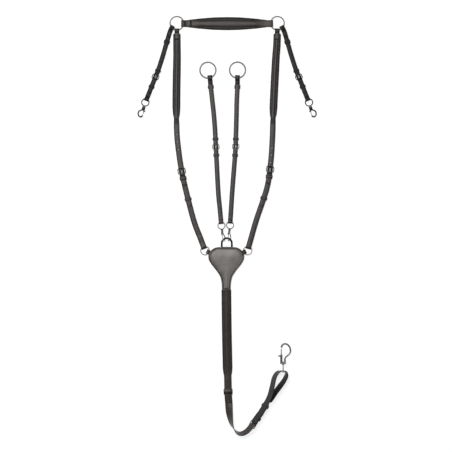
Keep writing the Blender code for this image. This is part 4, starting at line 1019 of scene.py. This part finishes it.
def buckled_pair(side, kind, points, marks, reach, holes, eye_z, snap_at):
    """A saddle or fork strap: its upper part hangs on a ring and takes a buckle, its lower holds the snap."""
    prefix = f"{side}_{kind}"
    low = prefix.lower()
    body = low + "_strap"
    half = SADDLE_HALF
    length = 15.0
    ring = side + ("_Upper_Ring" if kind == "Saddle" else "_Fork_Ring")
    _, _, ring_z, _, wire = RINGS[ring]
    path = Path(points)
    upper_u, tip_u, keeper_u, bar_u, lower_u = (path.nearest(*mark) for mark in marks)
    at = buckle_frame(path, bar_u, 1)
    double = 17.0 if kind == "Fork" else 30.0

    rows = ring_fold(0.0, 1, ring_z, reach, wire + WIRE_ROOM + FOLD_WALL, half, double)
    rows += chape_rows(bar_u, 1, half, 26.0)
    shape = Shape()
    shape.strap(path, rows, 3.0)
    # The saddle straps take the darker black, which is painted shade
    hide = bridle_leather() if kind == "Fork" else shade_darkened_leather()
    upper = shape.make(prefix + "_Upper_Leather", hide)
    for cut in (*chape_cut(at, half), ring_room(ring)):
        cut_away(upper, cut)
    place(upper, body, "black_leather", prefix + "_Upper_Strap")

    end = path.length
    billet = rounded_end(tip_u, half, *SECOND_LAYER, -1) + billet_rows(bar_u, 1, half, 26.0, length)
    billet += ring_fold(end, -1, eye_z, 5.8, SNAP_EYE[1] + WIRE_ROOM + FOLD_WALL, half, 22.0)
    shape = Shape()
    shape.strap(path, billet, 3.0)
    lower = shape.make(prefix + "_Lower_Leather", hide)
    cuts = [tongue_slot(at), torus(snap_at, *SNAP_EYE, 0.3, 16, 60)]
    if holes:
        cuts.append(punches(path, holes))
    for cut in cuts:
        cut_away(lower, cut)
    place(lower, body, "black_leather", prefix + "_Lower_Strap")

    keepers = (
        ("Tip_Keeper", upper_u, ONE_LAYER[1] - 0.5, SECOND_LAYER[1] - 2.2, 12.0),
        ("Buckle_Keeper", keeper_u, STRAP_Z + 2.9, STRAP_Z + 4.1 + STRAP_T, 8.0),
        ("Lower_Keeper", lower_u, STRAP_Z + 0.5, STRAP_Z + STRAP_T + 1.0, 9.0),
    )
    for label, u, under, over, wide in keepers:
        keeper = Shape()
        keeper.band(path.frame(u), half + 0.5, under, over, wide, 1.6)
        place(keeper.make(f"{prefix}_{label}", hide), body, "black_leather")

    seams = Shape()
    seams.strap_seams(path, rows, reach + 8.0, reach + double, 2.1)
    seams.cross_seam(path, rows, reach + 7.0)
    seams.cross_seam(path, rows, reach + double + 0.6)
    seams.strap_seams(path, rows, bar_u - 24.0, bar_u - 7.0, 2.1, -1)
    seams.strap_seams(path, billet, end - 27.0, end - 13.0, 2.1)
    seams.cross_seam(path, billet, end - 12.0)
    seams.cross_seam(path, billet, end - 28.4)
    place(seams.make(prefix + "_Stitching", waxed_thread()), body, None)

    finish, slot = (stainless(), "silver_steel") if kind == "Fork" else (gun_metal(), "gunmetal")
    make_buckle(prefix + "_Buckle", low + "_buckle", at, half, finish, slot, length)
    make_tongue(prefix + "_Buckle_Tongue", low + "_tongue", at, finish, slot, length)
    return finish, slot


SADDLE_LEFT = (
    (-175.8, 779.6), (-185.2, 762.5), (-195.0, 731.0), (-208.5, 684.0), (-224.0, 636.0),
    (-236.5, 604.6), (-249.0, 573.0), (-265.6, 531.5),
)
SADDLE_MARKS = ((-196.5, 726.0), (-213.5, 665.0), (-225.5, 630.6), (-231.1, 617.3), (-247.0, 578.5))
SADDLE_SNAP = 0.83
EYE_TIP = 5.0


def make_saddle_strap(side):
    """One saddle strap, on its upper ring, with a gunmetal snap."""
    left = side == "Left"
    plan = SADDLE_LEFT if left else mirrored(SADDLE_LEFT)
    marks = SADDLE_MARKS if left else mirrored(SADDLE_MARKS)
    path = Path(plan)
    eye = path.frame(path.length) @ Vector((EYE_TIP, 0, RING_Z))
    heading = math.radians(-106.1 if left else -73.9)
    snap_at = Matrix.Translation(eye) @ Matrix.Rotation(heading, 4, "Z")
    hook_at = snap_at @ Matrix.Rotation(math.pi if left else 0.0, 4, "X")
    finish, slot = buckled_pair(side, "Saddle", plan, marks, 7.1, [], RING_Z, snap_at)
    bodies = [f"{side.lower()}_saddle_{piece}" for piece in ("eye", "hook", "bolt")]
    make_snap(side + "_Saddle", bodies, snap_at, hook_at, finish, slot, SADDLE_SNAP, thick=1.7, crook=1.7)


LOOP_X = 1.3
LOOP_R = 16.6
LOOP_TUBE = 3.2
LOOP_CENTRE_Y = 62.0
FORK_SNAP = 0.88
FORK_LIFT = 11.0
FORK_ROLL = -62.0
FORKS = {
    "Left": {
        "plan": (
            (-55.1, 616.8), (-51.5, 577.5), (-46.2, 529.7), (-40.9, 480.2), (-37.2, 430.0),
            (-35.2, 387.0), (-34.0, 366.3), (-27.1, 234.3),
        ),
        "marks": ((-51.5, 577.5), (-52.0, 586.0), (-35.6, 405.9), (-35.2, 387.0), (-33.4, 352.0)),
        "holes": ((-46.2, 529.7), (-42.6, 505.6), (-40.9, 480.2), (-38.9, 454.4)),
        "bow": -33.0,
        "heading": -82.8,
        "seat": (48.1, 7.4),
    },
    "Right": {
        "plan": (
            (36.6, 617.1), (36.3, 577.5), (34.2, 529.7), (32.7, 460.0), (31.0, 405.9),
            (29.6, 366.3), (19.4, 234.3),
        ),
        "marks": ((36.3, 577.5), (36.4, 586.0), (31.0, 405.9), (30.4, 388.0), (28.6, 352.0)),
        "holes": ((34.2, 529.7), (33.6, 504.6), (33.1, 479.6), (32.6, 454.5)),
        "bow": 25.0,
        "heading": -96.4,
        "seat": (48.6, 3.0),
    },
}
FORK_EYE = (11.7, 1.8)


def loop_z(y):
    return 5.2 + 0.265 * (y - 52.0)


def make_fork_strap(side):
    """One fork strap: its big ring, buckle and hole row, and the bright snap hooked on the chest loop."""
    fork = FORKS[side]
    bow = math.radians(fork["bow"])
    tube = Vector((LOOP_X + LOOP_R * math.sin(bow), LOOP_CENTRE_Y + LOOP_R * math.cos(bow), 0))
    tube.z = loop_z(tube.y)
    turn = Matrix.Rotation(math.radians(fork["heading"]), 4, "Z")
    facing = turn @ Matrix.Rotation(math.radians(-FORK_LIFT), 4, "Y")
    rolled = facing @ Matrix.Rotation(math.radians(FORK_ROLL), 4, "X")
    shift = sum(FORK_EYE) + EYE_ROOM - COLLAR_FROM * FORK_SNAP
    seat_x, seat_y = fork["seat"]
    eye = tube - rolled @ Vector((seat_x * FORK_SNAP + shift, seat_y * FORK_SNAP, 0))
    snap_at = Matrix.Translation(eye) @ facing
    hook_at = Matrix.Translation(eye) @ rolled
    last = Vector(fork["plan"][-1])
    stop = eye.xy - (eye.xy - last).normalized() * EYE_TIP
    plan = (*fork["plan"], tuple(last.lerp(stop, 0.5)), tuple(stop))
    finish, slot = buckled_pair(side, "Fork", plan, fork["marks"], 8.2, fork["holes"], 5.6, snap_at)
    bodies = [f"{side.lower()}_fork_{piece}" for piece in ("eye", "hook", "bolt")]
    make_snap(
        side + "_Fork", bodies, snap_at, hook_at, finish, slot, FORK_SNAP, FORK_EYE, thick=1.35, crook=0.9
    )


# The chest plate's right half, walked from the top middle down to the girth strap
CHEST_X = -0.2
CHEST_HALF = (
    (0.0, 50.3), (20.0, 49.6), (37.0, 47.2), (49.0, 39.8), (57.0, 30.0), (59.5, 20.3), (57.4, 6.0),
    (47.9, -9.9), (33.2, -28.4), (20.9, -47.5), (16.2, -65.0), (14.8, -80.0), (14.7, -91.6),
)
LINING_T = 4.0


def chest_outline(steps=6):
    """The plate's outline once round, smooth except at the straight bottom edge."""
    right = [Vector((*p, 0)) for p in CHEST_HALF]
    whole = [Vector((-p.x, p.y, 0)) for p in right[:0:-1]] + right
    line = curve_through(whole, steps)
    foot = [line[-1].lerp(line[0], k / 8) for k in range(1, 8)]
    return [Vector((CHEST_X + p.x, p.y)) for p in line + foot]


def inset(point, distance):
    """Moves an outline point towards the plate's spine."""
    way = Vector((CHEST_X, max(-82.0, min(16.0, point.y + 6.0)))) - point
    return point + way * min(distance / way.length, 0.93)


FACE_Z = 6.8
# The flat rim round the panel is rubbed with edge ink, so it is darker than the panel
RIM_WIDTH = 6.3
RIM_INK = 0.6


def layers(outline, table):
    """The outline moved in by each distance and set at each height, which follows the face near the spine."""
    face = [row for row in table if row[1] > FACE_Z and row[0] > 1.0]
    rings = []
    for distance, z in table:
        ring = []
        for p in outline:
            moved = inset(p, distance)
            padded = z > FACE_Z and distance > 6.0
            ring.append((*moved, between(face, (moved - p).length)[0] if padded else z))
        rings.append(ring)
    return rings


def make_chest():
    """The chest plate: lining, cover with a flat stitched rim and a padded panel, ring tabs and the loop."""
    outline = chest_outline()
    body = "neck_and_girth"
    lining = Shape()
    back = [(40.0, 0.0), (1.2, 0.0), (0.35, 0.25), (0.0, 0.9), (0.0, 3.2), (0.35, 3.8), (1.2, LINING_T)]
    lining.loft(layers(outline, back + [(40.0, LINING_T)]))
    piece = lining.make("Chest_Lining_Leather", padded_leather(), sharp=60)
    for side in ("Left", "Right"):
        x, y, z, _, _ = RINGS[side + "_Chest_Ring"]
        toward = math.radians(-24.5 if side == "Left" else 204.5)
        way = Vector((math.cos(toward), math.sin(toward)))
        start = Vector((x, y)) + way * CHEST_TIP
        line = Path([tuple(start), tuple(start + way * 15), tuple(start + way * 28)])
        rows = [(10.5, z - 3.2, z + 2.9), (14.0, 0.8, 4.6), (19.0, 0.6, 3.5), (27.0, 0.6, 3.2)]
        rows = fold_rows(0.0, 1, z, *CHEST_FOLD, 7.5, rows)
        tab = Shape()
        tab.strap(line, rows, 2.0, FLAT)
        fold = tab.make(side + "_Ring_Tab", bridle_leather())
        cut_away(fold, ring_room(side + "_Chest_Ring"))
        place(fold, body, "black_leather")
        seam = Shape()
        seam.cross_seam(line, rows, 12.6, 0.8)
        place(seam.make(side + "_Ring_Tab_Stitching", waxed_thread()), body, None)
    place(piece, body, "black_leather", "Chest_Lining")

    base = LINING_T + GAP
    profile = [
        (40.0, base), (0.9, base), (0.2, base + 0.3), (0.0, 5.3), (0.0, 6.3), (0.25, 6.95), (0.9, 7.3),
        (2.2, 7.42), (3.4, 7.38), (3.8, 7.15), (4.2, 7.38), (5.0, 7.3), (5.5, 6.9), (6.0, 7.2), (6.4, 8.6),
        (7.2, 10.2),
        (8.6, 11.5), (10.6, 12.2), (14.0, 12.6), (20.0, 12.9), (30.0, 13.2), (42.0, 13.4),
    ]
    cover = Shape()
    marks_before = len(cover.points)
    cover.loft(layers(outline, profile))
    ring = len(outline)
    for k, (distance, _) in enumerate(profile):
        if k and distance < RIM_WIDTH:
            start = marks_before + k * ring
            cover.marks[start : start + ring] = [1.0 if distance < 0.9 else RIM_INK] * ring
    # The cover's lighter grey is painted sheen on the black leather
    piece = cover.make("Chest_Padded_Cover", panel_leather_painted_sheen(), sharp=60)
    place(piece, body, "black_leather", "Chest_Cover")
    seams = Shape()
    top = [p for p in outline if p.y > -91.0]
    seams.seam([Vector((*inset(p, 4.4), 7.42)) for p in top])
    seams.seam([Vector((x + CHEST_X, -88.6, 7.75)) for x in (-13.0, 13.0)])
    place(seams.make("Chest_Stitching", waxed_thread()), body, None)

    feet = [(15.8, 40.0, 3.9, 2.1), (16.4, 47.5, 4.1, 2.2), (16.6, 52.0, loop_z(52.0), LOOP_TUBE)]
    turns = [math.radians(a) for a in range(0, 181, 12)]
    arc = [(LOOP_R * math.cos(a), LOOP_CENTRE_Y + LOOP_R * math.sin(a)) for a in turns]
    line = [(LOOP_X + x, y, z, r) for x, y, z, r in feet]
    line += [(LOOP_X + x, y, loop_z(y), LOOP_TUBE) for x, y in arc]
    line += [(LOOP_X - x, y, z, r) for x, y, z, r in feet[::-1]]
    loop = Shape()
    loop.rod(Matrix.Identity(4), line, LOOP_TUBE, 24, False, 3)
    place(loop.make("Chest_Loop_Bow", gun_metal()), body, "gunmetal", "Chest_Loop")


GIRTH_PLAN = (
    (-0.2, -80.0), (-0.2, -92.2), (1.5, -230.0), (4.0, -350.0), (5.0, -395.0), (5.9, -435.6),
    (8.3, -468.6), (10.2, -498.0), (16.2, -531.3), (26.5, -553.0), (39.9, -565.3), (54.1, -565.6),
    (68.3, -557.5), (80.5, -544.0), (94.4, -523.1), (116.2, -491.7), (136.6, -458.7), (146.0, -440.0),
)
GIRTH_TILTS = (
    ((7.5, -466.0), 0.0), ((10.2, -498.0), 28.0), ((16.2, -531.3), 62.0), ((26.5, -553.0), 92.0),
    ((39.9, -565.3), 116.0), ((54.1, -565.6), 130.0), ((68.3, -557.5), 133.0), ((146.0, -440.0), 133.0),
)
GIRTH_LIFTS = (
    ((7.5, -466.0), STRAP_MID), ((10.2, -498.0), 8.0), ((16.2, -531.3), 13.0), ((26.5, -553.0), 16.5),
    ((54.1, -565.6), 18.5), ((146.0, -440.0), 18.5),
)
LOOP_PLAN = (
    (80.5, -544.0), (94.4, -523.1), (116.2, -491.7), (134.0, -462.5), (144.0, -440.0), (151.5, -410.0),
    (157.5, -383.0), (166.5, -367.0), (178.0, -360.8), (189.0, -360.0), (197.0, -365.0), (197.5, -376.0),
    (189.0, -393.0), (176.0, -411.0), (161.0, -431.0), (150.0, -447.5), (143.0, -457.5), (139.4, -463.0),
)
LOOP_TILTS = (
    ((134.0, -462.5), 133.0), ((151.5, -410.0), 128.0), ((157.5, -383.0), 125.0), ((168.0, -366.0), 118.0),
    ((179.0, -360.7), 99.0), ((189.0, -360.0), 88.0), ((195.5, -363.5), 76.0), ((197.5, -376.0), 59.0),
    ((176.0, -411.0), 47.0), ((150.0, -447.5), 47.0),
)
LOOP_LIFTS = (
    ((134.0, -462.5), 18.5), ((189.0, -360.0), 18.5), ((150.0, -447.5), 16.6), ((139.4, -463.0), 16.9),
)
SNAP_AT = (187.1, -352.1, 18.5)
GIRTH_BUCKLE = 19.0
GIRTH_CHAPE = 34.0
LONG_EYE = [
    (x, y, 0.0)
    for x, y in (
        (-11.9, -12.0), (-11.9, -6.0), (-11.9, 6.0), (-11.9, 12.0), (-9.0, 14.9), (4.0, 14.9),
        (9.0, 12.5), (12.1, 6.0), (12.1, 0.0), (12.1, -6.0), (9.0, -12.5), (4.0, -14.9), (-9.0, -14.9),
    )
]


def twisted(plan, tilts, lifts):
    """A path that twists and lifts by tables given at points of its plan."""
    flat = Path(plan)
    tables = [tuple((flat.nearest(*p), value) for p, value in table) for table in (tilts, lifts)]
    return Path(plan, *tables)


def make_girth():
    """The girth strap: cover on a pad, the plain strap that twists and buckles, loop strap and big snap."""
    body = "neck_and_girth"
    half = GIRTH_HALF
    path = twisted(GIRTH_PLAN, GIRTH_TILTS, GIRTH_LIFTS)

    def u(x, y):
        return path.nearest(x, y)

    bar_u = u(91.0, -528.5)
    at = buckle_frame(path, bar_u, -1)
    top = SECOND_LAYER[1]
    rows = [(u(0, -91.8), 9.5, 4.9, 7.5), (u(3.9, -352.4), 9.5, 4.9, 7.5)]
    rows += [(u(4.0, -356.0), half, 4.9, 7.5), (u(4.4, -376.0), half, 4.7, 7.5)]
    rows += [(u(5.0, -388.0), half, STRAP_Z, top), (u(7.5, -464.0), half, STRAP_Z, top)]
    rows += [(u(7.6, -465.2), half, *ONE_LAYER), (u(10.2, -498.0), half, *ONE_LAYER)]
    rows += billet_rows(bar_u, -1, half, GIRTH_CHAPE, GIRTH_BUCKLE)
    rows += rounded_end(u(134.5, -462.0), half, *SECOND_LAYER, 1)
    shape = Shape()
    domed = ((u(3.9, -340.0), 1.5), (u(4.0, -370.0), 0.8), (u(5.0, -400.0), 0.3))
    shape.strap(path, rows, 2.5, BRIDLE, domed)
    strap = shape.make("Girth_Strap_Leather", girth_leather())
    for cut in (tongue_slot(at), punches(path, [(7.4, -461.0)], 0.6, 2.2)):
        cut_away(strap, cut)
    place(strap, body, "black_leather", "Girth_Strap")
    wide = Shape()
    wide.band(path.frame(u(5.6, -428.0)), half + 0.9, STRAP_Z - 0.4, top + 0.3, 19.0, 1.6)
    place(wide.make("Girth_Wide_Keeper", bridle_leather()), body, "black_leather")

    padding = [(u(0, -91.8), 16.2, 0.5, 4.2), (u(4.0, -350.0), 16.2, 0.5, 4.2)]
    padding += [(u(4.2, -366.0), 14.6, 0.5, 4.2), (u(4.4, -374.0), 12.4, 0.5, 3.9)]
    padding += [(u(4.5, -378.0), 9.8, 0.7, 3.5)]
    pad = Shape()
    pad.strap(path, padding, 3.0, (1.75, 2.9, 0.5, 0.3))
    piece = pad.make("Girth_Padded_Lining", padded_leather(), sharp=75)
    place(piece, body, "black_leather", "Girth_Pad")

    loop_path = twisted(LOOP_PLAN, LOOP_TILTS, LOOP_LIFTS)
    loop_bar = loop_path.nearest(91.0, -528.5)
    tail = loop_path.length
    loop_rows = chape_rows(loop_bar, -1, half, GIRTH_CHAPE) + [(tail - 14.0, half, *ONE_LAYER)]
    loop_rows += rounded_end(tail, half, *ONE_LAYER, 1)
    shape = Shape()
    shape.strap(loop_path, loop_rows, 2.5)
    # The loop strap and the girth keepers take the darker black, which is painted shade
    loop = shape.make("Girth_Loop_Leather", shade_darkened_leather())
    for cut in chape_cut(at, half):
        cut_away(loop, cut)
    place(loop, body, "black_leather", "Girth_Loop_Strap")
    keeper = Shape()
    keeper.band(path.frame(bar_u + 17.0), half + 0.6, STRAP_Z + 2.4, STRAP_Z + 4.5 + STRAP_T, 11.0, 1.6)
    place(keeper.make("Girth_Sewn_Keeper", shade_darkened_leather()), body, "black_leather")
    runner = Shape()
    runner_at = path.frame(u(127.0, -474.5))
    runner.band(runner_at, half + 0.8, STRAP_Z - 0.5, top + 0.5, 11.0, 1.6)
    place(runner.make("Girth_Runner_Leather", shade_darkened_leather()), "girth_keeper", "black_leather",
          "Girth_Runner_Keeper")

    seams = Shape()
    seams.strap_seams(path, rows, u(0, -94.0), u(3.9, -350.0), 2.2, 1, 0.1)
    seams.strap_seams(path, rows, u(4.1, -358.0), u(7.5, -463.0), 2.3)
    seams.cross_seam(path, rows, u(4.1, -358.0))
    seams.cross_seam(path, rows, u(4.8, -384.0))
    end = loop_path.length
    seams.strap_seams(loop_path, loop_rows, end - 30.0, end - 2.0, 2.3)
    seams.cross_seam(loop_path, loop_rows, end - 30.0)
    seams.strap_seams(loop_path, loop_rows, loop_bar + 7.0, loop_bar + 30.0, 2.3, -1)
    place(seams.make("Girth_Stitching", waxed_thread()), body, None)

    make_buckle("Girth_Buckle", "girth_buckle", at, half, gun_metal(), "gunmetal", GIRTH_BUCKLE)
    make_tongue("Girth_Buckle_Tongue", "girth_tongue", at, gun_metal(), "gunmetal", GIRTH_BUCKLE)
    upright = Matrix.Translation(SNAP_AT) @ Matrix.Rotation(math.pi / 2, 4, "Z")
    eye_at = upright @ Matrix.Rotation(math.pi / 2, 4, "X")
    hook_at = upright @ Matrix.Rotation(math.pi, 4, "X")
    bodies = ("girth_eye", "girth_hook", "girth_bolt")
    make_snap("Girth", bodies, eye_at, hook_at, stainless(), "silver_steel", 1.55, (12.1, 1.9), LONG_EYE, 1.2,
              1.2, GIRTH_WEB)


def background_rays(tree):
    """1 for what the camera sees, directly, in metal or through a clear piece; 0 for light on the object."""
    rays = add_node(tree, "ShaderNodeLightPath")
    seen = add_node(
        tree, "ShaderNodeMath", [(rays.outputs["Is Camera Ray"], 0), (rays.outputs["Is Glossy Ray"], 1)],
        operation="MAXIMUM",
    )
    seen = add_node(
        tree, "ShaderNodeMath", [(seen.outputs[0], 0), (rays.outputs["Is Transmission Ray"], 1)],
        operation="MAXIMUM",
    )
    return seen.outputs[0]


def make_stage():
    """The pale floor, the soft studio lights, the world and the camera straight above."""
    s = settings()
    scene = bpy.context.scene
    scene.view_settings.view_transform = "Standard"
    bpy.ops.object.select_all(action="DESELECT")
    bpy.ops.mesh.primitive_plane_add(size=FLOOR_SIZE, location=(0.0, 0.0, FLOOR_Z))
    floor = bpy.context.object
    floor.name = "Studio_Floor"
    made, tree, shader = start_material("Studio_Paper")
    shader.inputs["Base Color"].default_value = linear(s.floor)
    shader.inputs["Roughness"].default_value = 0.9
    lit = add_node(tree, "ShaderNodeMath", [(background_rays(tree), 0)], operation="MULTIPLY")
    lit.inputs[1].default_value = FLOOR_GLOW
    shader.inputs["Emission Color"].default_value = linear(s.floor)
    tree.links.new(lit.outputs[0], shader.inputs["Emission Strength"])
    floor.data.materials.append(made)

    world = bpy.data.worlds.new("Studio_World")
    world.use_nodes = True
    scene.world = world
    tree = world.node_tree
    back = tree.nodes["Background"]
    back.inputs["Color"].default_value = (1.0, 1.0, 1.0, 1.0)
    way = add_node(tree, "ShaderNodeTexCoord").outputs["Generated"]
    rise = add_node(tree, "ShaderNodeSeparateXYZ", [(way, "Vector")]).outputs["Z"]
    wall = add_node(
        tree, "ShaderNodeMapRange", [(rise, "Value")],
        from_min=WALL_TOP, from_max=CEILING_EDGE, to_min=1.0, to_max=0.0,
    )
    seen = add_node(
        tree, "ShaderNodeMath", [(background_rays(tree), 0), (wall.outputs[0], 1)], operation="MULTIPLY"
    )
    white = add_node(
        tree, "ShaderNodeMapRange", [(seen.outputs[0], "Value")], to_min=WORLD_LIGHT, to_max=1.0
    )
    tree.links.new(white.outputs[0], back.inputs["Strength"])

    for name, place_at, size, power in LAMPS:
        lamp = bpy.data.lights.new(name, "AREA")
        lamp.shape = "DISK"
        lamp.size = size
        lamp.energy = power * s.key_power
        light = bpy.data.objects.new(name, lamp)
        scene.collection.objects.link(light)
        light.visible_camera = False
        light.location = place_at
        aim = Vector(LAMP_AIM) - light.location
        light.rotation_euler = aim.to_track_quat("-Z", "Y").to_euler()

    cam = bpy.data.cameras.new("Camera")
    cam.type = "ORTHO"
    cam.ortho_scale = IMAGE_SIZE * s.metres_per_pixel
    camera = bpy.data.objects.new("Camera", cam)
    scene.collection.objects.link(camera)
    middle_x = (IMAGE_SIZE / 2 - ORIGIN_PIXEL[0]) * s.metres_per_pixel
    middle_y = (ORIGIN_PIXEL[1] - IMAGE_SIZE / 2) * s.metres_per_pixel
    camera.location = (middle_x, middle_y, s.camera_height)
    cam.clip_end = CAMERA_REACH
    scene.camera = camera


IMAGE_SIZE = 452
ORIGIN_PIXEL = (226.4, 262.0)
# The floor is fixed, so pieces that a pose swings below it are hidden by it
FLOOR_Z = -0.004
FLOOR_SIZE = 12.0
FLOOR_GLOW = 0.76
LAMP_AIM = (0.0, 0.12, 0.0)
CAMERA_REACH = 50.0
WORLD_LIGHT = 0.1
# The white wall round the floor ends at this sine of its elevation, and above it comes a dark studio ceiling
WALL_TOP = 0.2
CEILING_EDGE = 0.35
# Each lamp's name, place, width and share of the key's power; all are wide, so metal shows no hard spots
LAMPS = (
    ("Top_Softbox", (-0.5, 0.9, 3.4), 2.2, 1.0),
    ("Side_Softbox", (-2.9, 1.2, 1.9), 3.0, 0.4),
    ("Fill_Softbox", (2.9, -0.8, 2.2), 3.0, 0.25),
)


def both(make):
    """A builder that makes the left piece, then the right one."""

    def build():
        for side in ("Left", "Right"):
            make(side)

    return build


def operator(key, label, does, build):
    """The operator class that adds one group of pieces."""

    def execute(self, context):
        build()
        return {"FINISHED"}

    parts = {"__doc__": does, "bl_idname": "breastplate." + key, "bl_label": label, "execute": execute}
    return type("BREASTPLATE_OT_" + key, (bpy.types.Operator,), parts)


PIECES = (
    operator("rings", "Rings", "Adds the six welded rings", make_rings),
    operator("withers", "Withers Strap", "Adds the padded strap over the withers", make_withers),
    operator(
        "shoulders", "Shoulder Straps", "Adds both padded shoulder straps with their buckles",
        both(make_shoulder),
    ),
    operator(
        "saddle_straps", "Saddle Straps", "Adds both saddle straps with their snaps", both(make_saddle_strap)
    ),
    operator("fork_straps", "Fork Straps", "Adds both fork straps with their snaps", both(make_fork_strap)),
    operator("chest", "Chest Plate", "Adds the chest plate and its loop", make_chest),
    operator("girth", "Girth Strap", "Adds the girth strap with its buckle and big snap", make_girth),
    operator("stage", "Stage", "Adds the floor, lights and camera", make_stage),
)


class BreastplatePanel(bpy.types.Panel):
    """Lists the pieces and the settings"""

    bl_idname = "VIEW3D_PT_breastplate"
    bl_label = "Breastplate"
    bl_space_type = "VIEW_3D"
    bl_region_type = "UI"
    bl_category = "Breastplate"

    def draw(self, context):
        for kind in PIECES:
            self.layout.operator(kind.bl_idname)
        for key in BreastplateSettings.__annotations__:
            self.layout.prop(context.scene.breastplate, key)


CLASSES = (BreastplateSettings, *PIECES, BreastplatePanel)


def register():
    for kind in CLASSES:
        bpy.utils.register_class(kind)
    bpy.types.Scene.breastplate = bpy.props.PointerProperty(type=BreastplateSettings)


def unregister():
    del bpy.types.Scene.breastplate
    for kind in reversed(CLASSES):
        bpy.utils.unregister_class(kind)


def main():
    register()
    for kind in PIECES:
        group, name = kind.bl_idname.split(".")
        getattr(getattr(bpy.ops, group), name)()


if __name__ == "__main__":
    main()
